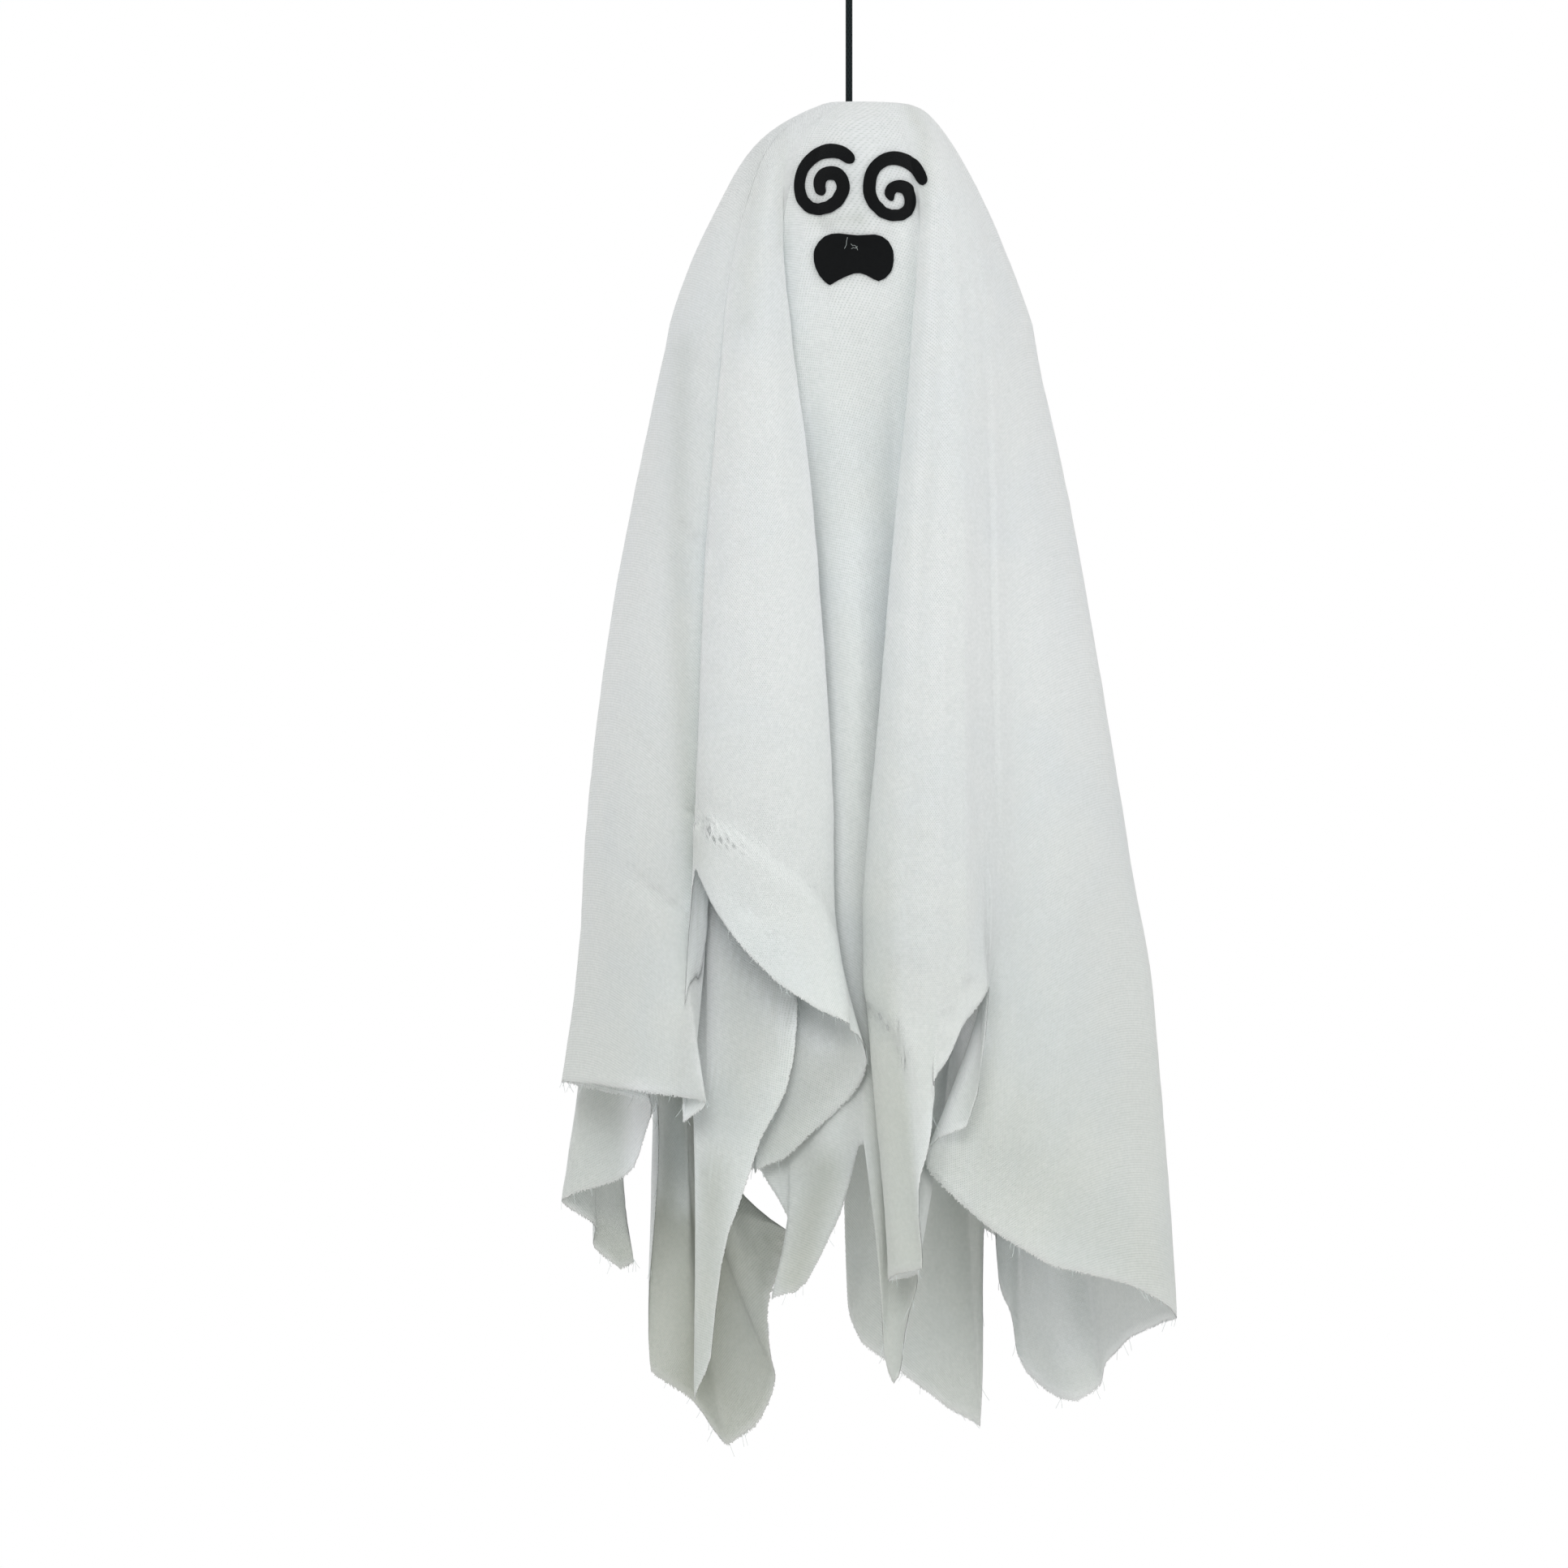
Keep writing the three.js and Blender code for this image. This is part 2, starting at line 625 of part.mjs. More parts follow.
function headBackShell(head) {
  const holes = headBosses.flatMap(({ x, drop }) => [
    rodAlongY(SCREW_SHANK_RADIUS + SCREW_CLEARANCE, -1, HEAD_SCREW_SEAT_Y + 1, x, drop, 12),
    rodAlongY(SCREW_HEAD_RADIUS + SCREW_CLEARANCE, HEAD_SCREW_SEAT_Y, HEAD_RADIUS, x, drop, 16),
  ]);
  const back = box(-THROUGH, THROUGH, CLEARANCE / 2, THROUGH, -1, THROUGH);
  return cut(head.intersect(back), ...holes);
}

// A screw along Y whose head rests on a seat at seatY and whose shank points to -Y.
function screwAlongY(x, drop, seatY, length) {
  const under = seatY + CLEARANCE;
  const shank = rodAlongY(SCREW_SHANK_RADIUS, seatY - length, under + SCREW_HEAD_HEIGHT / 2, x, drop, 10);
  const head = rodAlongY(SCREW_HEAD_RADIUS, under, under + SCREW_HEAD_HEIGHT, x, drop, 16);
  const top = under + SCREW_HEAD_HEIGHT;
  const slot = SCREW_HEAD_HEIGHT / 3;
  const cross = [
    [SCREW_HEAD_RADIUS * 0.6, slot / 2],
    [slot / 2, SCREW_HEAD_RADIUS * 0.6],
  ].map(([w, h]) => box(x - w, x + w, top - slot, top + slot, drop - h, drop + h));
  return cut(join(shank, head), ...cross);
}

// Motor, weight and cradle

function motorSection(grow, dropTop, dropBottom) {
  const round = rod(MOTOR_RADIUS + grow, dropTop, dropBottom, FIGURE_X, 0, 28);
  const flat = MOTOR_HALF_FLATS + grow;
  return round.intersect(box(-THROUGH, THROUGH, -flat, flat, dropTop - 1, dropBottom + 1));
}

function motorCan() {
  const boss = rod(MOTOR_BOSS_RADIUS, motorBossTop, canTop + 1, FIGURE_X, 0);
  const boreEnd = motorBossTop + SHAFT_DEPTH_IN_CAN + CLEARANCE;
  const bore = rod(SHAFT_RADIUS + RUNNING_CLEARANCE, motorBossTop - 1, boreEnd, FIGURE_X, 0, 16);
  return cut(join(motorSection(0, canTop, canBottom), boss), bore);
}

function motorEndCap() {
  const tabs = [-1, 1].map((side) => {
    const x = FIGURE_X + side * MOTOR_TAB_SPACING;
    const half = MOTOR_TAB_THICKNESS / 2;
    const width = MOTOR_TAB_WIDTH / 2;
    return box(x - half, x + half, -width, width, capBottom - 1, tabBottom);
  });
  return join(motorSection(0, capTop, capBottom), ...tabs);
}

function motorShaft() {
  return rod(SHAFT_RADIUS, shaftTop, motorBossTop + SHAFT_DEPTH_IN_CAN, FIGURE_X, 0, 16);
}

function eccentricWeight() {
  const disc = rod(WEIGHT_RADIUS, weightTop, weightBottom, FIGURE_X, 0, 32);
  const half = box(-THROUGH, THROUGH, 0, THROUGH, weightTop - 1, weightBottom + 1);
  const hub = rod(WEIGHT_HUB_RADIUS, weightTop, weightBottom, FIGURE_X, 0);
  const bore = rod(SHAFT_RADIUS + CLEARANCE, weightTop - 1, weightBottom + 1, FIGURE_X, 0, 16);
  return cut(join(cut(disc, half), hub), bore);
}

function motorCradle() {
  const bottom = cradleTop + CRADLE_LENGTH;
  const body = box(
    FIGURE_X - cradleHalfWidth,
    FIGURE_X + cradleHalfWidth,
    cradleFront,
    -cradleFront,
    cradleTop,
    bottom,
  );
  const reach = cradleHalfWidth + CRADLE_EAR_WIDTH;
  const halfEar = CRADLE_EAR_LENGTH / 2;
  const ears = box(
    FIGURE_X - reach,
    FIGURE_X + reach,
    cradleFront,
    earBack,
    cradleMiddle - halfEar,
    cradleMiddle + halfEar,
  );
  const pocket = motorSection(CLEARANCE, cradleTop - 1, bottom + 1);
  const holes = cradleScrewPlaces.map(({ x, drop }) =>
    rodAlongY(SCREW_SHANK_RADIUS + SCREW_CLEARANCE, cradleFront - 1, earBack + 1, x, drop, 12),
  );
  return cut(join(body, ears), pocket, ...holes);
}

// Circuit board, on two posts of the battery case

const postPlaces = [-1, 1].map((side) => FIGURE_X + side * POST_SPACING);
const wirePlaces = [-1, 1].map((side) => FIGURE_X + side * WIRE_SPACING);

function circuitBoard() {
  const [w, h] = [BOARD_HALF_LENGTH, BOARD_HALF_WIDTH];
  const top = boardTop - CLEARANCE;
  const bottom = boardBottom - CLEARANCE;
  const board = box(FIGURE_X - w, FIGURE_X + w, -h, h, top, bottom);
  const holes = postPlaces.map((x) =>
    rod(BOARD_SCREW_SHANK_RADIUS + SCREW_CLEARANCE, top - 1, bottom + 1, x, 0, 12),
  );
  return cut(board, ...holes);
}

function boardScrew(x) {
  const under = boardTop - 2 * CLEARANCE;
  const top = under - BOARD_SCREW_HEAD_HEIGHT;
  const shank = rod(BOARD_SCREW_SHANK_RADIUS, top + 0.5, under + BOARD_SCREW_LENGTH, x, 0, 10);
  return join(shank, rod(BOARD_SCREW_HEAD_RADIUS, top, under, x, 0, 16));
}

function soundSensor() {
  const bottom = boardTop - 2 * CLEARANCE;
  const body = rod(SENSOR_RADIUS, bottom - SENSOR_HEIGHT, bottom, FIGURE_X, SENSOR_Y, 20);
  const port = rod(SENSOR_RADIUS / 4, 0, bottom - SENSOR_HEIGHT * 0.6, FIGURE_X, SENSOR_Y, 10);
  return cut(body, port);
}

// Battery case

function batteryCase() {
  const body = box(
    FIGURE_X - caseHalfWidth,
    FIGURE_X + caseHalfWidth,
    caseFront,
    caseBack,
    caseTop,
    caseBottom,
  );
  const rails = [-1, 1].flatMap((side) => {
    const outer = FIGURE_X + side * caseHalfWidth;
    const wall = FIGURE_X + side * roomHalfWidth;
    const lip = FIGURE_X + side * (roomHalfWidth - RAIL_LIP);
    const [a, b] = [Math.min(outer, wall), Math.max(outer, wall)];
    const [c, d] = [Math.min(outer, lip), Math.max(outer, lip)];
    return [
      box(a, b, caseBack - 1, railBack, caseTop, caseBottom),
      box(c, d, railFront, railBack, caseTop, caseBottom),
    ];
  });
  const half = roomHalfWidth + 0.5;
  const stop = box(FIGURE_X - half, FIGURE_X + half, caseBack - 1, railBack, caseTop, cellRoomTop);
  const neckRadius = NECK_RADIUS - CLEARANCE;
  const neck = rod(neckRadius, flangeTop + 1, caseTop + 1, FIGURE_X, 0, HEAD_SIDES);
  const flange = rod(FLANGE_RADIUS, flangeTop, flangeBottom, FIGURE_X, 0, HEAD_SIDES);
  const posts = postPlaces.map((x) => rod(POST_RADIUS, boardBottom, flangeTop + 1, x, 0, 16));
  const [left, right] = [FIGURE_X - roomHalfWidth, FIGURE_X + roomHalfWidth];
  const cellRoom = box(left, right, roomFront, doorFront, cellRoomTop, cellRoomBottom);
  const bay = box(left, right, roomFront, doorFront, bayTop, bayBottom);
  const screwHoles = postPlaces.map((x) =>
    rod(BOARD_SCREW_SHANK_RADIUS + SCREW_CLEARANCE, boardBottom - 1, flangeBottom, x, 0, 12),
  );
  const wireHoles = wirePlaces.map((x) =>
    rod(WIRE_RADIUS + WIRE_CLEARANCE, flangeTop - 1, bayTop + 1, x, wireY, 10),
  );
  const slotHalf = KNOB_HALF_LENGTH + KNOB_TRAVEL / 2 + CLEARANCE;
  const slotWidth = KNOB_HALF_WIDTH + CLEARANCE;
  const slot = box(
    FIGURE_X - slotHalf,
    FIGURE_X + slotHalf,
    -slotWidth,
    slotWidth,
    bayBottom - 1,
    caseBottom + 1,
  );
  const whole = join(body, ...rails, stop, neck, flange, ...posts);
  return cut(whole, cellRoom, bay, ...screwHoles, ...wireHoles, slot);
}

function batteryDoor() {
  const halfWidth = roomHalfWidth - CLEARANCE;
  const [left, right] = [FIGURE_X - halfWidth, FIGURE_X + halfWidth];
  const panel = box(left, right, doorFront, doorBack, cellRoomTop + CLEARANCE, caseBottom);
  const ridges = Array.from({ length: DOOR_RIDGES }, (_, i) => {
    const drop = caseBottom - (i + 2) * DOOR_RIDGE_PITCH;
    const reach = DOOR_RIDGE_HALF_LENGTH;
    const back = doorBack + DOOR_RIDGE_HEIGHT;
    return box(FIGURE_X - reach, FIGURE_X + reach, doorBack - 0.5, back, drop - 0.6, drop + 0.6);
  });
  return join(panel, ...ridges);
}

// A cell whose nub end is at nubDrop, with its body on the side that direction gives: 1 is downwards.
function batteryCell(x, nubDrop, direction) {
  const step = nubDrop + direction * CELL_NUB_LENGTH;
  const end = step + direction * CELL_LENGTH;
  const [bodyTop, bodyBottom] = [Math.min(step, end), Math.max(step, end)];
  const into = step + direction;
  const nub = rod(CELL_NUB_RADIUS, Math.min(nubDrop, into), Math.max(nubDrop, into), x, 0, 16);
  return join(rod(CELL_RADIUS, bodyTop, bodyBottom, x, 0, 28), nub);
}

const leftCellX = FIGURE_X - cellSide;
const rightCellX = FIGURE_X + cellSide;
const plateHalf = CELL_RADIUS - 1;

function contactPlate(x0, x1, dropTop) {
  return box(x0 - plateHalf, x1 + plateHalf, -plateHalf + 1, plateHalf - 1, dropTop, dropTop + PLATE_THICKNESS);
}

class Coil extends THREE.Curve {
  constructor(x, dropTop) {
    super();
    this.x = x;
    this.dropTop = dropTop;
  }
  getPoint(t, target = new THREE.Vector3()) {
    const angle = 2 * Math.PI * SPRING_TURNS * t;
    const run = SPRING_LENGTH - 2 * SPRING_WIRE_RADIUS;
    const drop = this.dropTop + SPRING_WIRE_RADIUS + run * t;
    const radius = SPRING_RADIUS;
    return target.set(this.x + radius * Math.cos(angle), radius * Math.sin(angle), heightOf(drop));
  }
}

function contactSpring(x, dropTop) {
  return tube(new Coil(x, dropTop), SPRING_WIRE_RADIUS, 5, Math.round(8 * SPRING_TURNS));
}

// The least gap between neighbouring turns of a spring, measured on points of its centre line.
function springGap() {
  const points = new Coil(0, 0).getPoints(Math.round(24 * SPRING_TURNS));
  let least = Infinity;
  points.forEach((a, i) =>
    points.slice(i + 12).forEach((b) => {
      least = Math.min(least, a.distanceTo(b));
    }),
  );
  return least - 2 * SPRING_WIRE_RADIUS;
}

// Slide switch

const switchTop = bayBottom - CLEARANCE - SWITCH_HEIGHT;
const knobX = FIGURE_X - KNOB_TRAVEL / 2;

function switchBody() {
  const [w, h] = [SWITCH_HALF_LENGTH, SWITCH_HALF_WIDTH];
  const bottom = bayBottom - CLEARANCE;
  const body = box(FIGURE_X - w, FIGURE_X + w, -h, h, switchTop, bottom);
  const travel = KNOB_HALF_LENGTH + KNOB_TRAVEL / 2 + CLEARANCE;
  const width = KNOB_HALF_WIDTH + CLEARANCE;
  const slot = box(
    FIGURE_X - travel,
    FIGURE_X + travel,
    -width,
    width,
    switchTop + SWITCH_HEIGHT / 2,
    bottom + 1,
  );
  return cut(body, slot);
}

function switchKnob() {
  const top = switchTop + SWITCH_HEIGHT / 2 + CLEARANCE;
  const [w, h] = [KNOB_HALF_LENGTH, KNOB_HALF_WIDTH];
  return box(knobX - w, knobX + w, -h, h, top, caseBottom + KNOB_PROTRUSION);
}

// Wires

function motorWire(side) {
  const x = FIGURE_X + side * MOTOR_TAB_SPACING;
  const end = boardTop - 2 * CLEARANCE;
  const start = tabBottom + CLEARANCE;
  const bow = side * MOTOR_WIRE_SPREAD;
  const points = MOTOR_WIRE_ROUTE.map(([fall, spread, forward]) => [
    x + bow * spread,
    -MOTOR_WIRE_LANDING * forward,
    start + (end - start) * fall,
  ]);
  return tube(curveThrough(points), WIRE_RADIUS, WIRE_SIDES, 8);
}

function switchWire(x) {
  const start = boardBottom;
  const end = switchTop - CLEARANCE;
  const landingY = -SWITCH_HALF_WIDTH + WIRE_RADIUS;
  const points = [
    [x, wireY, start],
    [x, wireY, (start + end) / 2],
    [x, wireY, cellRoomBottom],
    [x, wireY, bayTop],
    [x, (wireY + landingY) / 2, bayTop + 2 * WIRE_RADIUS],
    [x, landingY, end],
  ];
  const landed = tube(curveThrough(points), WIRE_RADIUS, WIRE_SIDES, 28);
  return cut(landed, box(-THROUGH, THROUGH, -THROUGH, THROUGH, end, THROUGH));
}

// Cloth

const halfWidthAt = (drop) => readOff(OUTLINE, drop, 2);
const middleAt = (drop) => readOff(OUTLINE, drop, 1);

// How far round each fold lies at the chin, as a share of the way round.
function sharesRound() {
  const lengths = FOLDS.map(([x, y], i) => {
    const [nextX, nextY] = FOLDS[(i + 1) % FOLDS.length];
    return Math.hypot(nextX - x, nextY - y);
  });
  const total = lengths.reduce((sum, length) => sum + length);
  let walked = 0;
  return lengths.map((length) => {
    const share = walked / total;
    walked += length;
    return share;
  });
}

// The plain oval that the cloth makes round the temples, before it falls into folds.
function templePoint(share) {
  const [x, y] = FOLDS[0];
  const start = Math.atan2(y / TEMPLE_HALF_DEPTH, (x - middleAt(CHIN_DROP)) / halfWidthAt(CHIN_DROP));
  const angle = start + 2 * Math.PI * share;
  const halfWidth = halfWidthAt(TEMPLE_DROP);
  return [middleAt(TEMPLE_DROP) + halfWidth * Math.cos(angle), TEMPLE_HALF_DEPTH * Math.sin(angle)];
}

// Where a fold is at a drop, before the head holds it out.
function foldPoint(fold, share, drop) {
  const [chinX, chinY, waistX, waistY, hemX, hemY, hemDrop, ease = WAIST_TO_HEM_EASE] = fold;
  const [templeX, templeY] = templePoint(share);
  if (drop < TEMPLE_DROP) {
    const shrink = halfWidthAt(drop) / halfWidthAt(TEMPLE_DROP);
    return [middleAt(drop) + (templeX - middleAt(TEMPLE_DROP)) * shrink, templeY * shrink];
  }
  if (drop < CHIN_DROP) {
    const widened = halfWidthAt(drop) - halfWidthAt(TEMPLE_DROP);
    const s = widened / (halfWidthAt(CHIN_DROP) - halfWidthAt(TEMPLE_DROP));
    return [templeX + (chinX - templeX) * s, templeY + (chinY - templeY) * s];
  }
  if (drop <= WAIST_DROP || hemDrop <= WAIST_DROP) {
    const s = 1 - (1 - (drop - CHIN_DROP) / (WAIST_DROP - CHIN_DROP)) ** CHIN_TO_WAIST_EASE;
    return [chinX + (waistX - chinX) * s, chinY + (waistY - chinY) * s];
  }
  const s = ((drop - WAIST_DROP) / (hemDrop - WAIST_DROP)) ** ease;
  return [waistX + (hemX - waistX) * s, waistY + (hemY - waistY) * s];
}

// The cloth lies over the head, so no point of it comes nearer to the head's axis than that.
function heldOut([x, y], drop) {
  const least = headRadiusAt(drop) && headRadiusAt(drop) + CLOTH_TO_HEAD;
  const away = Math.hypot(x - FIGURE_X, y);
  const push = away < least ? least / away : 1;
  return new THREE.Vector3(FIGURE_X + (x - FIGURE_X) * push, y * push, heightOf(drop));
}

function clothColumn(fold, share) {
  const hemDrop = fold[6];
  const drops = [
    ...CROWN_DROPS.slice(1),
    ...SKIRT_SHARES.map((s) => CHIN_DROP + (hemDrop - CHIN_DROP) * s),
  ];
  const [x, y] = templePoint(share);
  const toRim = CLOTH_HOLE_RADIUS / Math.hypot(x, y);
  const rim = new THREE.Vector3(x * toRim, y * toRim, heightOf(CROWN_DROPS[0]));
  return [rim, ...drops.map((drop) => heldOut(foldPoint(fold, share, drop), drop))];
}

function ghostCloth() {
  const shares = sharesRound();
  return plate(
    FOLDS.map((fold, i) => clothColumn(fold, shares[i])),
    CLOTH_THICKNESS,
    true,
  );
}

// Felt face, laid on the front of the cloth

function layOnCloth(cloth, x, drop) {
  const from = new THREE.Vector3(x, -THROUGH, heightOf(drop));
  const ray = new THREE.Raycaster(from, new THREE.Vector3(0, 1, 0));
  const [hit] = ray.intersectObject(cloth);
  const y = hit.point.y - FELT_GAP - FELT_THICKNESS / 2;
  return new THREE.Vector3(x, y, heightOf(drop));
}

function eyeFelt(cloth, { x, drop, start }) {
  const grid = [];
  for (let i = 0; i <= EYE_STEPS; i++) {
    const t = i / EYE_STEPS;
    const turn = EYE_SWEEP * t;
    const angle = THREE.MathUtils.degToRad(start + turn);
    const radius = EYE_OUTER_RADIUS - (EYE_PITCH * turn) / 360;
    const ends = Math.min(t, 1 - t) / EYE_TIP_SHARE;
    const rounding = Math.sqrt(1 - (1 - Math.min(1, 0.2 + ends * 2.4)) ** 2);
    const half = (EYE_STROKE / 2) * rounding;
    grid.push(
      [radius + half, radius, radius - half].map((r) =>
        layOnCloth(cloth, x + r * Math.cos(angle), drop - r * Math.sin(angle)),
      ),
    );
  }
  return plate(grid, FELT_THICKNESS, false);
}

function mouthFelt(cloth) {
  const [left, right] = [MOUTH_TOP[0][0], MOUTH_TOP[MOUTH_TOP.length - 1][0]];
  const inset = (right - left) * 0.004;
  const grid = [];
  for (let i = 0; i <= MOUTH_STEPS; i++) {
    const across = (1 - Math.cos((Math.PI * i) / MOUTH_STEPS)) / 2;
    const x = left + inset + (right - left - 2 * inset) * across;
    const top = readOff(MOUTH_TOP, x, 1);
    const bottom = readOff(MOUTH_BOTTOM, x, 1);
    const column = Array.from({ length: MOUTH_ROWS + 1 }, (_, j) =>
      layOnCloth(cloth, x, top + ((bottom - top) * j) / MOUTH_ROWS),
    );
    grid.push(column);
  }
  return plate(grid, FELT_THICKNESS, false);
}

// Materials and assembly

const material = (color, roughness, metalness = 0) =>
  new THREE.MeshStandardMaterial({ color, roughness, metalness });

const group = new THREE.Group();

function addPiece(name, solid, look) {
  const mesh = new THREE.Mesh(toGeometry(solid), look);
  mesh.name = name;
  group.add(mesh);
  return mesh;
}

const cordBlack = () => material(0x18262c, 0.85);
const ivoryPlastic = () => material(0xe9e6dc, 0.5);
const casePlastic = () => material(0xd8dad8, 0.5);
const felt = () => material(0x111314, 1);
const steel = () => material(0xb9bcc0, 0.35, 1);
const brass = () => material(0xb08d4a, 0.4, 1);
const spring = () => material(0xc8cacd, 0.3, 1);

addPiece("hanging_loop", hangingLoop(), cordBlack());
addPiece("loop_knot", loopKnot(), cordBlack());
addPiece("hanging_cord", hangingCord(), cordBlack());
addPiece("stopper_knot", stopperKnot(), cordBlack());
addPiece("stopper_washer", stopperWasher(), steel());

const cloth = addPiece("ghost_cloth", ghostCloth(), material(0xe2e8e6, 0.95));
for (const [name, place] of Object.entries(EYES)) addPiece(name, eyeFelt(cloth, place), felt());
addPiece("mouth_felt", mouthFelt(cloth), felt());

const head = wholeHead();
addPiece("head_front_shell", headFrontShell(head), ivoryPlastic());
addPiece("head_back_shell", headBackShell(head), ivoryPlastic());
headBosses.forEach(({ x, drop }, i) => {
  const screw = screwAlongY(x, drop, HEAD_SCREW_SEAT_Y, HEAD_SCREW_LENGTH);
  addPiece(`head_screw_${i + 1}`, screw, steel());
});

addPiece("motor_can", motorCan(), steel());
addPiece("motor_end_cap", motorEndCap(), material(0xf0efe9, 0.5));
addPiece("motor_shaft", motorShaft(), steel());
addPiece("eccentric_weight", eccentricWeight(), brass());
addPiece("motor_cradle", motorCradle(), casePlastic());
cradleScrewPlaces.forEach(({ x, drop }, i) => {
  const screw = screwAlongY(x, drop, earBack, CRADLE_SCREW_LENGTH);
  addPiece(`cradle_screw_${i + 1}`, screw, steel());
});

addPiece("circuit_board", circuitBoard(), material(0x2f6b3f, 0.55));
addPiece("sound_sensor", soundSensor(), material(0x9a9da0, 0.4, 1));
postPlaces.forEach((x, i) => addPiece(`board_screw_${i + 1}`, boardScrew(x), steel()));

addPiece("battery_case", batteryCase(), casePlastic());
addPiece("battery_door", batteryDoor(), casePlastic());
const leftNub = topPlateBottom + CLEARANCE;
const rightNub = bridgeTop - CLEARANCE;
addPiece("left_cell", batteryCell(leftCellX, leftNub, 1), material(0x2b5f8c, 0.4, 0.4));
addPiece("right_cell", batteryCell(rightCellX, rightNub, -1), material(0x2b5f8c, 0.4, 0.4));
addPiece("positive_plate", contactPlate(leftCellX, leftCellX, topPlateTop), spring());
addPiece("negative_plate", contactPlate(rightCellX, rightCellX, topPlateTop), spring());
addPiece("bridge_plate", contactPlate(leftCellX, rightCellX, bridgeTop), spring());
addPiece("top_spring", contactSpring(rightCellX, topPlateBottom + CLEARANCE), spring());
addPiece("bottom_spring", contactSpring(leftCellX, bridgeTop - CLEARANCE - SPRING_LENGTH), spring());
console.log("least gap between turns of a contact spring, mm:", springGap().toFixed(2));

addPiece("switch_body", switchBody(), steel());
addPiece("switch_knob", switchKnob(), material(0x1c1c1e, 0.5));
addPiece("motor_wire_red", motorWire(-1), material(0xa32020, 0.6));
addPiece("motor_wire_black", motorWire(1), material(0x1a1a1a, 0.6));
wirePlaces.forEach((x, i) => addPiece(`switch_wire_${i + 1}`, switchWire(x), material(0x1a1a1a, 0.6)));

export default group;
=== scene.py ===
import json
import math
import random

import bpy
import numpy as np
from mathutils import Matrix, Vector, noise
from mathutils.bvhtree import BVHTree

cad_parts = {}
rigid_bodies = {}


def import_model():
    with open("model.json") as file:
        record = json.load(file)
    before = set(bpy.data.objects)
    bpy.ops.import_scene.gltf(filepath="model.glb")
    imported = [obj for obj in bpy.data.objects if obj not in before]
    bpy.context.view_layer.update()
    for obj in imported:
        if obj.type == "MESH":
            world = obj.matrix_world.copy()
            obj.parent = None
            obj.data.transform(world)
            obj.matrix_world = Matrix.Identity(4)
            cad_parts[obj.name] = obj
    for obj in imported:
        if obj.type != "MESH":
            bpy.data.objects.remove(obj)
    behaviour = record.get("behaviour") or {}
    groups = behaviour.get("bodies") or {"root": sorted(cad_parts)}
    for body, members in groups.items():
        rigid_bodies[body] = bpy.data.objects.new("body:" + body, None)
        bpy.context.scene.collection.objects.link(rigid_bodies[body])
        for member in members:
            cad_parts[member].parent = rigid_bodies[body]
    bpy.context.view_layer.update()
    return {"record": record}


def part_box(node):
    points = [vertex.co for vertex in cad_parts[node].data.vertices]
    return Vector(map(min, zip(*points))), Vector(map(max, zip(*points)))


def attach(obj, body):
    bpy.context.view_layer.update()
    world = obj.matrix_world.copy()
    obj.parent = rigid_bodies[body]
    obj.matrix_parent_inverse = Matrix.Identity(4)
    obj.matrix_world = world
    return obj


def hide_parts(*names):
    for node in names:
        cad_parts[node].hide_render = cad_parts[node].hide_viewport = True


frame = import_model()

MM = 0.001
CROWN_Z = -0.068


def height_of(drop_mm):
    return CROWN_Z - drop_mm * MM


# ---------------------------------------------------------------- camera, lamps and floor

CAMERA_AT = (-0.0246, -5.0, -0.3257)
CAMERA_SENSOR = 36
CAMERA_LENS = 303.35
FLOOR_Z = -0.8
FLOOR_SIZE = 1.6
AMBIENT = 0.7
KEY_WATTS = 19.8
FILL_WATTS = 6


def add_camera():
    bpy.ops.object.camera_add(location=CAMERA_AT, rotation=(math.radians(90), 0, 0))
    camera = bpy.context.active_object
    camera.data.sensor_width = CAMERA_SENSOR
    camera.data.lens = CAMERA_LENS
    bpy.context.scene.camera = camera


def add_area_lamp(name, place, aim, size, watts):
    bpy.ops.object.light_add(type="AREA", location=place)
    lamp = bpy.context.active_object
    lamp.name = name
    lamp.data.size = size
    lamp.data.energy = watts
    towards = Vector(aim) - Vector(place)
    lamp.rotation_euler = towards.to_track_quat("-Z", "Y").to_euler()


def light_the_world():
    """A white room that shows as pure white and lights the object more softly."""
    world = bpy.data.worlds.new("studio")
    bpy.context.scene.world = world
    world.use_nodes = True
    tree = world.node_tree
    background = tree.nodes["Background"]
    background.inputs["Color"].default_value = (1, 1, 1, 1)
    path = add_node(tree, "LightPath")
    shown = calc(tree, "MAXIMUM", path["Is Camera Ray"], path["Is Glossy Ray"])
    shown = calc(tree, "MAXIMUM", shown, path["Is Transmission Ray"])
    put(tree, background.inputs["Strength"], span(tree, shown, 0, 1, AMBIENT, 1))


def add_floor():
    bpy.ops.mesh.primitive_plane_add(size=FLOOR_SIZE, location=(0, 0, FLOOR_Z))
    floor = bpy.context.active_object
    floor.name = "floor"
    material, tree = new_material("pale_floor")
    grain = noise_at(tree, object_place(tree), 19)
    tint = mixed(tree, grain, (0.90, 0.90, 0.90, 1), (0.94, 0.94, 0.94, 1))
    floor.data.materials.append(finished(material, tint, Roughness=0.9))


# ---------------------------------------------------------------- material helpers


def new_material(name):
    material = bpy.data.materials.new(name)
    material.use_nodes = True
    return material, material.node_tree


def put(tree, socket, value):
    """Links a socket to another one, or sets its value."""
    if isinstance(value, bpy.types.NodeSocket):
        tree.links.new(value, socket)
    else:
        socket.default_value = value


def put_named(tree, sockets, values):
    for name, value in values.items():
        put(tree, sockets[name.replace("_", " ")], value)


def add_node(tree, kind, **values):
    """A new node with its named inputs put in; gives its outputs."""
    node = tree.nodes.new("ShaderNode" + kind)
    put_named(tree, node.inputs, values)
    return node.outputs


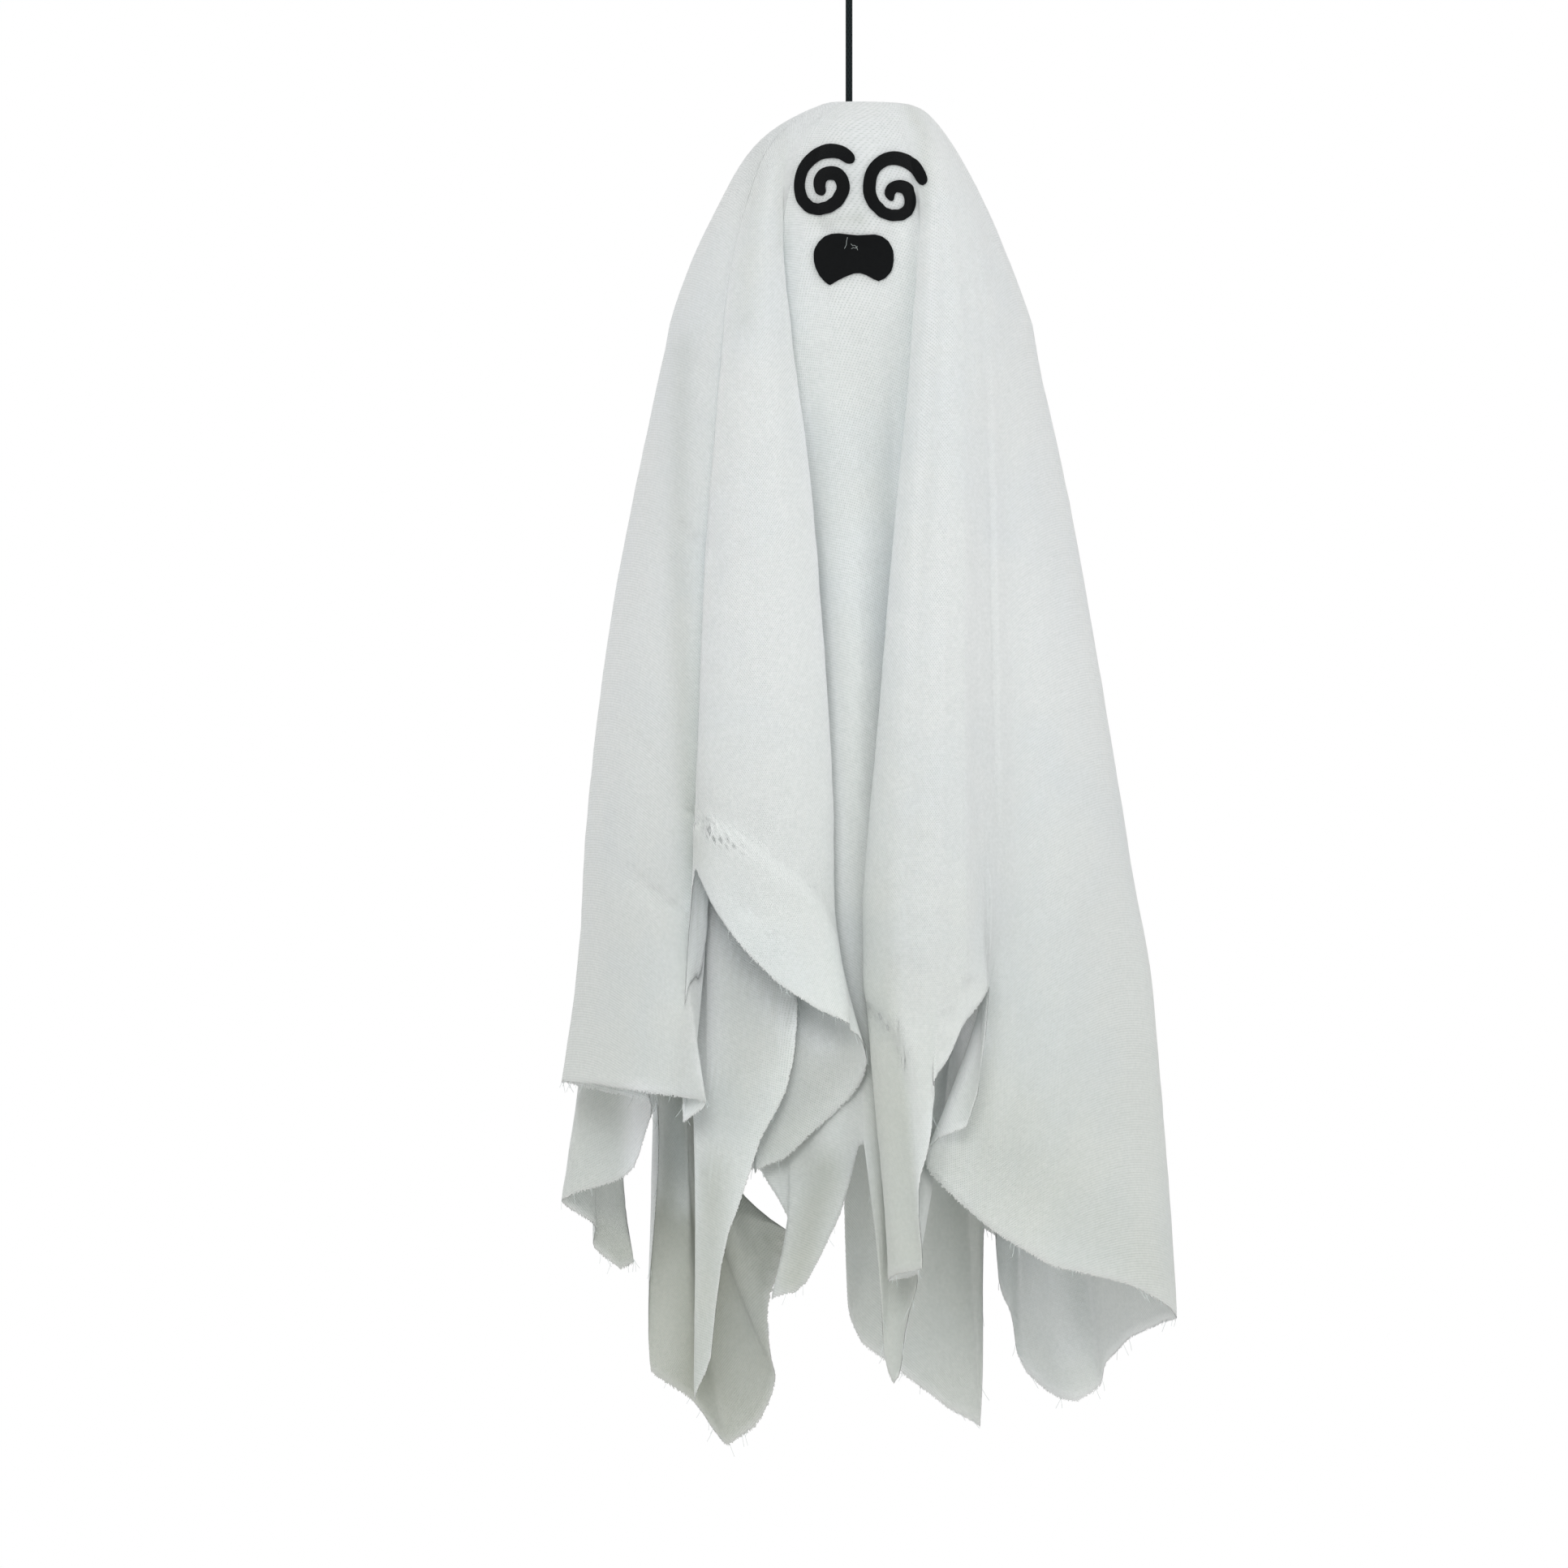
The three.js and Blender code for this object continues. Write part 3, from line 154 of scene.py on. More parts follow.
def calc(tree, operation, *values, kind="Math"):
    """A sum on numbers, or with the kind VectorMath on vectors and colours."""
    node = tree.nodes.new("ShaderNode" + kind)
    node.operation = operation
    for socket, value in zip(node.inputs, values):
        put(tree, socket, value)
    return node.outputs[0]


def span(tree, value, low, high, to_low=0.0, to_high=1.0):
    values = {"From_Min": low, "From_Max": high, "To_Min": to_low, "To_Max": to_high}
    return add_node(tree, "MapRange", Value=value, **values)["Result"]


def noise_at(tree, vector, scale, detail=3.0, roughness=0.5):
    values = {"Vector": vector, "Scale": scale, "Detail": detail, "Roughness": roughness}
    return add_node(tree, "TexNoise", **values)["Fac"]


def mixed(tree, share, first, second):
    node = tree.nodes.new("ShaderNodeMix")
    node.data_type = "RGBA"
    for socket, value in ((0, share), (6, first), (7, second)):
        put(tree, node.inputs[socket], value)
    return node.outputs[2]


def object_place(tree):
    return add_node(tree, "TexCoord")["Object"]


def own_attribute(tree, name):
    node = tree.nodes.new("ShaderNodeAttribute")
    node.attribute_name = name
    return node.outputs["Fac"]


def finished(material, base, height=None, depth=0.0, **values):
    """Gives a material's shader its colour, its other values and its bump."""
    tree = material.node_tree
    sockets = tree.nodes["Principled BSDF"].inputs
    put(tree, sockets["Base Color"], base)
    put_named(tree, sockets, values)
    if height is not None:
        put(tree, sockets["Normal"], add_node(tree, "Bump", Distance=depth, Height=height)["Normal"])
    return material


def new_group(name, values, outputs):
    """An effect that takes a Vector and named values with their usual settings."""
    group = bpy.data.node_groups.new(name, "ShaderNodeTree")
    group.interface.new_socket("Vector", in_out="INPUT", socket_type="NodeSocketVector")
    for socket, value in values.items():
        kind = "NodeSocketColor" if isinstance(value, tuple) else "NodeSocketFloat"
        group.interface.new_socket(socket, in_out="INPUT", socket_type=kind).default_value = value
    for socket in outputs:
        kind = "NodeSocketColor" if socket == "Colour" else "NodeSocketFloat"
        group.interface.new_socket(socket, in_out="OUTPUT", socket_type=kind)
    start, end = group.nodes.new("NodeGroupInput"), group.nodes.new("NodeGroupOutput")
    return group, start.outputs, end.inputs


def use_group(tree, group, **values):
    node = tree.nodes.new("ShaderNodeGroup")
    node.node_tree = group
    put_named(tree, node.inputs, values)
    return node.outputs


def colour(red, green, blue):
    linear = [((c / 255 + 0.055) / 1.055) ** 2.4 if c > 10 else c / 255 / 12.92 for c in (red, green, blue)]
    return (*linear, 1)


# ---------------------------------------------------------------- shared effects


def make_knit_pores():
    """A fine diagonal mesh of open pores between round yarns, on coordinates in metres."""
    group, given, out = new_group("Knit pores", {"Pitch": 0.00085, "Unevenness": 0.5}, ["Pore", "Height"])
    place = given["Vector"]
    turned = add_node(group, "Mapping", Vector=place, Rotation=(0, 0, math.radians(38)))["Vector"]
    parts = add_node(group, "SeparateXYZ", Vector=turned)
    turn = calc(group, "DIVIDE", 2 * math.pi, given["Pitch"])
    uneven = calc(group, "MULTIPLY", given["Unevenness"], 3.0)
    jitter = calc(group, "MULTIPLY", noise_at(group, place, 900, 2.0), uneven)
    across, along = (
        calc(group, "SINE", calc(group, "MULTIPLY_ADD", parts[axis], turn, jitter)) for axis in "XY"
    )
    pore = span(group, calc(group, "MULTIPLY", across, along), 0.25, 0.95)
    thin = span(group, noise_at(group, place, 45, 4.0, 0.6), 0.3, 0.7, 0.6, 1.0)
    put(group, out["Pore"], calc(group, "MULTIPLY", pore, thin))
    put(group, out["Height"], calc(group, "SUBTRACT", 1.0, pore))
    return group


def make_loose_fibres():
    """Short matted fibres: a mask of lighter hairs and a rough height."""
    group, given, out = new_group("Loose fibres", {"Scale": 1200.0}, ["Hair", "Height"])
    broad = noise_at(group, given["Vector"], calc(group, "MULTIPLY", given["Scale"], 0.12))
    bent = calc(group, "MULTIPLY_ADD", given["Vector"], (1, 0.25, 0.6), broad, kind="VectorMath")
    hair = noise_at(group, bent, given["Scale"], 5.0, 0.7)
    put(group, out["Hair"], span(group, hair, 0.5, 0.75))
    put(group, out["Height"], calc(group, "MULTIPLY_ADD", broad, 0.6, hair))
    return group


def make_braid():
    """Two families of strands that cross, round an upright axis at x = y = 0."""
    group, given, out = new_group("Braid", {"Strands": 6.0, "Lay": 2600.0}, ["Strand", "Height"])
    parts = add_node(group, "SeparateXYZ", Vector=given["Vector"])
    around = calc(group, "MULTIPLY", calc(group, "ARCTAN2", parts["Y"], parts["X"]), given["Strands"])
    upward = calc(group, "MULTIPLY", parts["Z"], given["Lay"])
    ways = [calc(group, "SINE", calc(group, way, around, upward)) for way in ("ADD", "SUBTRACT")]
    top = calc(group, "MAXIMUM", *ways)
    put(group, out["Strand"], span(group, top, -0.2, 1.0))
    put(group, out["Height"], top)
    return group


def streaked(group, given, stretch, scale, roughness=0.5):
    """Noise that is drawn out or pressed together along the upright axis."""
    place = add_node(group, "Mapping", Vector=given["Vector"], Scale=(1, 1, stretch))["Vector"]
    return noise_at(group, place, scale, 4.0, roughness)


def put_surface(group, given, out, shade, roughness, height):
    put(group, out["Colour"], calc(group, "MULTIPLY", given["Colour"], shade, kind="VectorMath"))
    put(group, out["Roughness"], roughness)
    put(group, out["Height"], height)
    return group


def make_moulded_grain():
    """The fine bite, faint flow marks and dust of moulded plastic."""
    values = {"Colour": (0.8, 0.8, 0.8, 1), "Variation": 0.06}
    group, given, out = new_group("Moulded grain", values, ["Colour", "Roughness", "Height"])
    flow = streaked(group, given, 0.3, 60)
    shade = calc(group, "SUBTRACT", 1.0, calc(group, "MULTIPLY", flow, given["Variation"]))
    bite = noise_at(group, given["Vector"], 2600, 2.0)
    return put_surface(group, given, out, shade, span(group, flow, 0.3, 0.7, 0.42, 0.58), bite)


def make_worked_metal():
    """Drawn or turned metal: streaks along one axis, a few dull spots."""
    values = {"Colour": (0.7, 0.7, 0.7, 1), "Dullness": 0.35}
    group, given, out = new_group("Worked metal", values, ["Colour", "Roughness", "Height"])
    streak = streaked(group, given, 14, 500, 0.6)
    spots = span(group, noise_at(group, given["Vector"], 260), 0.5, 0.75, -0.05, 0.2)
    dull = calc(group, "ADD", given["Dullness"], spots)
    return put_surface(group, given, out, span(group, streak, 0.3, 0.7, 0.88, 1.05), dull, streak)


KNIT_PORES = make_knit_pores()
LOOSE_FIBRES = make_loose_fibres()
BRAID = make_braid()
MOULDED_GRAIN = make_moulded_grain()
WORKED_METAL = make_worked_metal()


# ---------------------------------------------------------------- materials

VOILE_WHITE = colour(241, 246, 245)
VOILE_SHADE = colour(200, 209, 207)
VOILE_BLUISH = colour(230, 238, 243)
VOILE_HEM = colour(243, 246, 244)
# How much each colour channel follows the painted shade; blue follows it most.
PAINTED_SHADE_POWERS = {"X": 1.0, "Y": 1.01, "Z": 1.16}


def voile():
    material, tree = new_material("white_voile")
    uv = tree.nodes.new("ShaderNodeUVMap")
    uv.uv_map = "flat"
    flat, place = uv.outputs["UV"], object_place(tree)
    pores = use_group(tree, KNIT_PORES, Vector=flat, Pitch=0.00135, Unevenness=0.5)
    painted_shade_and_knit, hem = own_attribute(tree, "painted_shade_and_knit"), own_attribute(tree, "hem")
    blotch = noise_at(tree, place, 22, 3.0, 0.55)
    base = mixed(tree, span(tree, blotch, 0.42, 0.68, 0.0, 0.5), VOILE_WHITE, VOILE_BLUISH)
    grain = span(tree, noise_at(tree, place, 700, 3.0, 0.6), 0.35, 0.65)
    open_share = calc(tree, "MULTIPLY_ADD", pores["Pore"], 0.75, calc(tree, "MULTIPLY", grain, 0.22))
    base = mixed(tree, open_share, base, VOILE_SHADE)
    base = mixed(tree, span(tree, hem, 0.0, 0.0022, 0.7, 0.0), base, VOILE_HEM)
    # The painted shade and painted light darken or lighten the cloth's own colour here.
    powers = {axis: calc(tree, "POWER", painted_shade_and_knit, power) for axis, power in PAINTED_SHADE_POWERS.items()}
    painted_shading = add_node(tree, "CombineXYZ", **powers)["Vector"]
    frayed = span(tree, noise_at(tree, flat, 1000), 0.35, 0.7, 0.0, 0.0013)
    return finished(
        material, calc(tree, "MULTIPLY", base, painted_shading, kind="VectorMath"), pores["Height"], 0.00012,
        Roughness=0.92, Specular_IOR_Level=0.15, Sheen_Weight=0.25, Sheen_Roughness=0.5,
        Subsurface_Weight=0.7, Subsurface_Radius=(1.0, 1.0, 1.0), Subsurface_Scale=0.002,
        Alpha=calc(tree, "GREATER_THAN", calc(tree, "SUBTRACT", hem, frayed), 0.0),
    )


def fibrous(name, scale, ground, hair, depth, **values):
    """A matted finish of dark or light ground with hairs of another colour."""
    material, tree = new_material(name)
    fibres = use_group(tree, LOOSE_FIBRES, Vector=object_place(tree), Scale=scale)
    return finished(material, mixed(tree, fibres["Hair"], ground, hair), fibres["Height"], depth, **values)


def braided_cord():
    material, tree = new_material("black_cord")
    place = object_place(tree)
    braid = use_group(tree, BRAID, Vector=place, Strands=6.0, Lay=2600.0)
    fibres = use_group(tree, LOOSE_FIBRES, Vector=place, Scale=2600.0)
    strand = mixed(tree, braid["Strand"], colour(9, 15, 16), colour(20, 30, 32))
    base = mixed(tree, calc(tree, "MULTIPLY", fibres["Hair"], 0.3), strand, colour(48, 62, 64))
    height = calc(tree, "MULTIPLY_ADD", fibres["Height"], 0.4, braid["Height"])
    return finished(material, base, height, 0.00006, Roughness=0.5, Specular_IOR_Level=0.08)


def plastic(name, base, variation):
    material, tree = new_material(name)
    grain = use_group(tree, MOULDED_GRAIN, Vector=object_place(tree), Colour=base, Variation=variation)
    return finished(material, grain["Colour"], grain["Height"], 0.00002, Roughness=grain["Roughness"])


def metal(name, base, dullness):
    material, tree = new_material(name)
    worked = use_group(tree, WORKED_METAL, Vector=object_place(tree), Colour=base, Dullness=dullness)
    return finished(
        material, worked["Colour"], worked["Height"], 0.00001, Roughness=worked["Roughness"], Metallic=1.0
    )


def solder_mask():
    material, tree = new_material("green_board")
    place = object_place(tree)
    tracks = add_node(tree, "TexBrick", Vector=place, Scale=220, Mortar_Size=0.06)["Fac"]
    lines = calc(tree, "SUBTRACT", 1.0, tracks)
    mask = mixed(
        tree, span(tree, noise_at(tree, place, 90), 0.3, 0.7), colour(28, 92, 48), colour(36, 110, 58)
    )
    base = mixed(tree, calc(tree, "MULTIPLY", lines, 0.5), colour(64, 140, 84), mask)
    return finished(material, base, lines, 0.00003, Roughness=0.35)


def cell_wrap():
    material, tree = new_material("cell_wrap")
    place = object_place(tree)
    flow = noise_at(tree, place, 120)
    wrap = mixed(tree, span(tree, flow, 0.35, 0.65), colour(40, 92, 138), colour(52, 106, 152))
    height = calc(tree, "ADD", add_node(tree, "SeparateXYZ", Vector=place)["Z"], 0.176)
    band = calc(tree, "LESS_THAN", calc(tree, "ABSOLUTE", height), 0.007)
    base = mixed(tree, band, wrap, colour(188, 192, 196))
    return finished(material, base, flow, 0.00002, Roughness=span(tree, flow, 0.3, 0.7, 0.25, 0.4))


# Each plastic's colour and unevenness, and each metal's colour and dullness.
PLASTICS = {
    "ivory_plastic": ((233, 230, 220), 0.06), "grey_plastic": ((214, 217, 215), 0.06),
    "black_plastic": ((30, 30, 32), 0.06), "motor_plastic": ((238, 236, 228), 0.04),
    "red_wire": ((176, 34, 30), 0.1), "black_wire": ((26, 26, 27), 0.1),
}
METALS = {
    "plated_steel": ((205, 206, 210), 0.3), "motor_steel": ((186, 189, 192), 0.38),
    "weight_brass": ((206, 172, 104), 0.32), "contact_metal": ((214, 214, 216), 0.25),
}
MATERIALS = {
    "black_cord": braided_cord(),
    "white_voile": voile(),
    "black_felt": fibrous(
        "black_felt", 1500.0, colour(14, 15, 16), colour(40, 43, 45), 0.00025,
        Roughness=1.0, Specular_IOR_Level=0.05, Sheen_Weight=0.06,
    ),
    "green_board": solder_mask(),
    "cell_wrap": cell_wrap(),
}
for table, make in ((PLASTICS, plastic), (METALS, metal)):
    MATERIALS.update({name: make(name, colour(*base), amount) for name, (base, amount) in table.items()})


def finish_cad_nodes():
    for row in frame["record"]["subparts"]:
        for holder in bpy.data.objects[row["node"]].material_slots:
            holder.material = MATERIALS[row["material_slot"]]


def dress(piece, body, slot, *nodes, material=None):
    """Gives a new piece its finish, the body that it rides on and the solids that it stands for."""
    piece.data.materials.clear()
    piece.data.materials.append(material or MATERIALS[slot])
    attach(piece, body)
    if nodes:
        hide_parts(*nodes)


def new_object(name, data):
    made = bpy.data.objects.new(name, data)
    bpy.context.collection.objects.link(made)
    return made


# ---------------------------------------------------------------- cloth

HEAD_MIDDLE_X = 4.0
CLOTH_TO_HEAD = 1.3
CLOTH_THICKNESS = 0.4
HEM_THICKNESS = 0.1
CLOTH_HOLE_RADIUS = 2.2
TEMPLE_DROP = 22.0
CHIN_DROP = 84.0
WAIST_DROP = 303.0
TEMPLE_HALF_DEPTH = 31.5
FLATTER_AT_TEMPLE = 0.62
CROWN_LIP_DROP = 0.8
DOME_DROP = 3.0
DOME_CURVE = 0.0012
CROWN_ROWS, CROWN_ROW_EASE = 24, 1.7
SKIRT_ROWS, SKIRT_ROW_EASE = 70, 0.8
RIM_ROWS = 5
FINE_COLUMNS = 500
TRIAL_COLUMNS = 1700
TURN_ROUNDING = 5
TURN_SHARE = 0.7
WAIST_TO_HEM_EASE = 1.5
SMOOTHING_PASSES = 10
STEP_SHARPNESS = 2.4
UNEVEN_FROM, UNEVEN_OVER = 10.0, 40.0
BROAD_SIZE, BROAD_HEIGHT = 38, 0.9
SMALL_SIZE, SMALL_HEIGHT = 9, 0.22
# Painted shade of the lower layers starts at this drop in mm and is full this much lower; painted light may
# lighten the colour at most this far.
PAINTED_SHADE_FROM, PAINTED_SHADE_OVER = 200, 180
MOST_PAINTED_LIGHT = 1.12
FRAYED_AWAY = 0.8
CAMERA_X, CAMERA_DROP, CAMERA_AWAY = -24.6, 257.7, 5000.0
SEEN_OVER = 100

# The outline seen from the front, down to the chin: drop, middle x, half width.
OUTLINE = np.array([
    (0, 9, 13.5), (2.5, 7.4, 20), (5, 5.2, 25.8), (10, 2.9, 32.4), (15, 1.4, 37), (22, 1.25, 42),
    (35, 1.7, 48.7), (47, 1.55, 54.6), (59, 0.8, 60), (72, 0.6, 64.8), (84, 0.6, 68.5),
])

# The head's outline: share of its height from the top, share of its radius.
HEAD_PROFILE = np.array([
    (0, 0.46), (0.03, 0.59), (0.076, 0.72), (0.14, 0.835), (0.225, 0.93), (0.335, 0.99), (0.44, 1),
    (0.55, 0.985), (0.67, 0.925), (0.785, 0.826), (0.88, 0.705), (0.947, 0.59), (1, 0.525),
])

# The folds, going round by the front from the left side, one column of cloth a line: x, y at the
# chin, x, y at the waist, x, y and drop of its end at the hem, and how late it swings out there.
LEFT_PANEL = [
    (-67.9, -4, -101, -8, -107, -10, 370),
    (-63, -20, -93, -38, -96, -40, 371),
    (-55, -33, -79, -58, -78, -62, 374),
    (-48, -40, -64, -68, -54, -82, 378),
    (-46.8, -40, -53, -65, -63, -69, 386),
]
TURNED_FLAP = [
    (-47, -43, -58, -82, -56.5, -80, 288),
    (-44, -46, -53, -88, -51, -88, 304),
    (-40, -49, -45, -92, -43, -94, 316),
    (-33, -50, -29, -94, -28, -96, 332),
    (-27, -46, -14, -88, -12, -92, 343),
    (-23.2, -41, -5.6, -77, 4, -84, 352),
]
MIDDLE_PIECE = [
    (-26.5, -38, -14, -68, 6, -72, 368),
    (-28.5, -36.5, -30, -62, -23, -62, 399),
    (-29.2, -35.8, -38, -58, -36, -58, 405),
]
LEFT_STRIP = [
    (-29.6, -35.2, -28, -64, -19, -70, 339),
    (-30, -34.8, -33, -63, -22, -71, 370),
    (-30.3, -34.4, -40, -61, -33, -70, 391.6),
    (-30.6, -33.9, -44, -61, -41, -69, 416),
    (-30.9, -33.4, -48, -61, -46, -67, 428.5),
    (-31.2, -32.7, -51.5, -60, -50, -65, 449),
    (-31.4, -32.1, -54, -59, -52.5, -62, 476),
    (-31.5, -31.5, -54.5, -57, -59, -58, 491),
    (-28.5, -30.5, -63, -53, -50, -52, 404),
]
MIDDLE_TONGUE = [
    (-25, -31.5, -38, -49, -34, -50, 403),
    (-22.7, -31.9, -28, -54, -21.5, -54, 427),
    (-20.5, -32.2, -17, -57, -29.5, -54, 452.4, 5),
    (-15, -32.5, -13, -60, -17.8, -57, 449, 3),
    (-11, -32.7, -10, -65, -10.4, -59, 435.5),
    (-7, -32.8, -6, -69, -2.5, -62, 418.6),
    (2, -33, 2, -71, 5, -64, 389),
]
CENTRE_STRAND = [
    (11, -32.8, 14, -67, 12, -64, 450),
    (15, -32.5, 21, -58, 13.4, -62, 474),
    (17, -32.3, 26, -58, 15.2, -63, 482),
    (19, -32.2, 30, -58, 17.6, -64, 486),
    (21, -31.8, 34, -58, 19.6, -65, 478),
    (23, -31.4, 38, -58, 20.8, -67, 465),
    (25.5, -30.5, 43, -59, 23, -70, 456),
    (28.5, -33, 34, -64, 26, -74, 443),
    (26.5, -37, 16, -70, 15, -78, 446),
    (24.2, -41, 4.5, -78, 18, -88, 443),
    (29, -47, 14, -90, 27, -94, 441),
]
RIGHT_DRAPE = [
    (33, -47.5, 20, -92, 26, -96, 412),
    (35, -48, 25, -94, 31, -97, 395),
    (37, -48, 30, -95, 33, -98, 380),
    (39, -47.5, 34, -95, 32.3, -98, 369),
    (41, -47, 38, -94, 37.5, -97, 362),
    (43, -45, 44, -92, 43, -96, 349),
    (47.5, -42, 50, -79, 52.7, -86, 333),
    (49.5, -40, 53, -75, 47, -83, 386),
    (51.5, -38, 55.5, -71, 33, -77, 392),
]
RIGHT_FRONT = [
    (53.5, -36, 58, -67.5, 28, -73, 401),
    (55.5, -33.5, 61.5, -64, 42.7, -71, 417),
    (57.5, -30.5, 67, -60.5, 55, -67, 427),
    (61, -23, 84, -50, 77, -64, 440),
    (66, -12, 101.5, -28, 106, -46, 447, 1),
    (69.2, 2, 108, -2, 123.8, -14, 459, 0.55),
]
RIGHT_BACK = [
    (67, 14, 103, 20, 119, 10, 461, 0.9),
    (63, 21, 98, 29, 107, 28, 466.6),
    (60, 27, 91, 39, 101.8, 36, 471.7),
    (57, 32, 86, 47, 96.7, 44, 477),
    (55, 35, 82, 54, 95, 47, 485.3),
    (51, 36.5, 75, 48, 86.5, 44, 491.2),
    (48, 38, 69, 44, 80, 47, 490),
    (46, 41, 67, 51, 74.6, 51, 487),
    (44.5, 44, 65.5, 58, 66.9, 57, 480),
    (43, 46, 64, 64, 63.5, 56, 471.7),
    (41, 45, 61, 59, 61.8, 53, 458),
    (39.5, 43.5, 58, 54, 58.4, 50, 451),
    (37.5, 42, 55, 49, 56.7, 47, 443),
    (36, 41, 52, 46, 55.9, 44, 429),
]
RIGHT_MIDDLE = [
    (31, 51, 52, 68, 51, 60, 425),
    (24, 53, 42, 72, 49.8, 62, 501),
    (20, 48, 35, 58, 38, 58, 494),
    (18, 44, 31, 48, 26, 54, 485),
    (14.5, 44, 24, 46, 13, 50, 475),
    (11, 44, 17, 44, 4.9, 46, 469),
    (8, 49, 13, 56, -0.5, 48, 457),
    (6.5, 52, 11.5, 64, -2, 56, 419),
]
BACK = [
    (6, 54, 10, 70, -2.5, 60, 400),
    (-3, 56, -10, 74, -20, 66, 394),
    (-11, 46, -24, 50, -38, 56, 396),
    (-19, 54, -44, 66, -44, 50, 418),
    (-26, 46, -48, 50, -22, 44, 427, 14),
    (-31, 48, -54, 46, -30.5, 42, 455, 4),
    (-33, 50, -58, 55, -29.5, 43, 474, 3.5),
    (-35, 53, -62, 64, -27.8, 46, 484, 2.5),
    (-38, 52, -65, 65, -34.5, 52, 500),
    (-41, 51, -68, 66, -46, 58, 508),
    (-42.5, 46, -67, 57, -52, 54, 501),
    (-44, 41, -62, 48, -60, 46, 490),
    (-50, 42, -66.5, 52, -75.4, 54, 479, 0.9),
    (-54, 33, -76, 38, -72.5, 40, 377),
]
LEFT_LOBE = [
    (-56, 31.5, -81, 39, -86.5, 42, 410),
    (-57.5, 30.5, -85, 39.5, -86.3, 41, 424),
    (-59, 29, -90, 40, -81, 40, 438, 3),
    (-60.5, 25, -92.5, 34, -86.5, 38, 441),
    (-62, 22, -95.5, 28, -96.7, 30, 432),
    (-63, 20, -97, 24, -95.5, 26, 425),
    (-64, 18, -98, 20, -108, 8, 416),
]
LEFT_LOWER = [
    (-63.7, 13, -95, 14, -107, 4, 414),
    (-63, 9, -88, 7, -86, -3, 407),
    (-64.5, 7.3, -87.5, 3.5, -80, -8, 401),
    (-66, 5.6, -87.2, 0, -77.7, -11, 392),
    (-67, 4, -87, -3, -74, -16, 379),
]

# Each run of columns: how early it swings out under the chin, and the painted shade of its two faces low
# down, where less light reaches the lower, back and inner layers.
CLOTH_RUNS = [
    (LEFT_PANEL, 1.5, 0.77, 0.82), (TURNED_FLAP, 2.0, 0.78, 0.84), (MIDDLE_PIECE, 2.0, 0.78, 0.84),
    (LEFT_STRIP, 1.7, 0.94, 0.84), (MIDDLE_TONGUE, 1.4, 0.82, 0.8), (CENTRE_STRAND, 1.0, 0.62, 0.76),
    (RIGHT_DRAPE, 1.0, 0.79, 0.82), (RIGHT_FRONT, 1.2, 0.76, 0.84), (RIGHT_BACK, 1.2, 0.9, 0.87),
    (RIGHT_MIDDLE, 1.4, 0.9, 0.7), (BACK, 1.6, 0.9, 0.54), (LEFT_LOBE, 1.5, 0.9, 0.7),
    (LEFT_LOWER, 1.5, 0.73, 0.72),
]
LEFT_FOLD_EDGE = len(LEFT_PANEL) + len(TURNED_FLAP) - 1
RIGHT_FOLD_EDGE = LEFT_FOLD_EDGE + len(MIDDLE_PIECE) + len(LEFT_STRIP) + len(MIDDLE_TONGUE) + 10
RIGHT_FRONT_END = RIGHT_FOLD_EDGE + 1 + len(RIGHT_DRAPE) + len(RIGHT_FRONT)
# Where a column's chin, waist and hem start in its row.
LEVELS = (0, 2, 4)
LEFT_EDGE_AT_TEMPLE = -28.5
RIGHT_EDGE_AT_TEMPLE = 29.5


def fold_columns():
    """Each column: chin x, y, waist x, y, hem x, y, drop, hem ease, chin ease, outer and inner painted
    shade.
    """
    rows = []
    for run, chin_ease, outer, inner in CLOTH_RUNS:
        for fold in run:
            ease = fold[7] if len(fold) > 7 else WAIST_TO_HEM_EASE
            rows.append((*fold[:6], fold[6] + FRAYED_AWAY, ease, chin_ease, outer, inner))
    return np.array(rows, dtype=float)


def read_off(table, at, entry=1):
    """A value between the rows of a table, whose first entries are the places."""
    return np.interp(at, table[:, 0], table[:, entry])


def outline_at(drop):
    return read_off(OUTLINE, drop, 1), read_off(OUTLINE, drop, 2)


TEMPLE_MIDDLE, TEMPLE_HALF = outline_at(TEMPLE_DROP)
CHIN_MIDDLE, CHIN_HALF = outline_at(CHIN_DROP)


def gaps_at(folds, first):
    """From each column to the next, at the chin, the waist or the hem."""
    return np.hypot(*(np.roll(folds[:, first:first + 2], -1, axis=0) - folds[:, first:first + 2]).T)


def mean_gaps(folds):
    return np.maximum(sum(gaps_at(folds, first) for first in LEVELS) / len(LEVELS), 1.0)


def shares_round(gaps):
    return (np.cumsum(gaps) - gaps) / gaps.sum()


def temple_points(folds):
    """The oval round the temples, with the two fold edges beside the face held at their places."""
    start = math.atan2(folds[0, 1] / TEMPLE_HALF_DEPTH, (folds[0, 0] - CHIN_MIDDLE) / CHIN_HALF)
    shares = shares_round(gaps_at(folds, 0))
    held = [(0, start)]
    for column, x in ((LEFT_FOLD_EDGE, LEFT_EDGE_AT_TEMPLE), (RIGHT_FOLD_EDGE, RIGHT_EDGE_AT_TEMPLE)):
        held.append((shares[column], -math.acos((x - TEMPLE_MIDDLE) / TEMPLE_HALF)))
    held.append((1, start + 2 * math.pi))
    angle = read_off(np.array(held), shares)
    across = TEMPLE_MIDDLE + TEMPLE_HALF * np.cos(angle)
    return np.stack([across, TEMPLE_HALF_DEPTH * np.sin(angle)], axis=1)


# How much of the folds' shape the cloth already has: drop, share.
FOLD_ONSET = np.array([
    (0, 0), (8, 0.1), (22, 0.26), (35, 0.43), (47, 0.59), (59, 0.74), (72, 0.89), (84, 1),
])


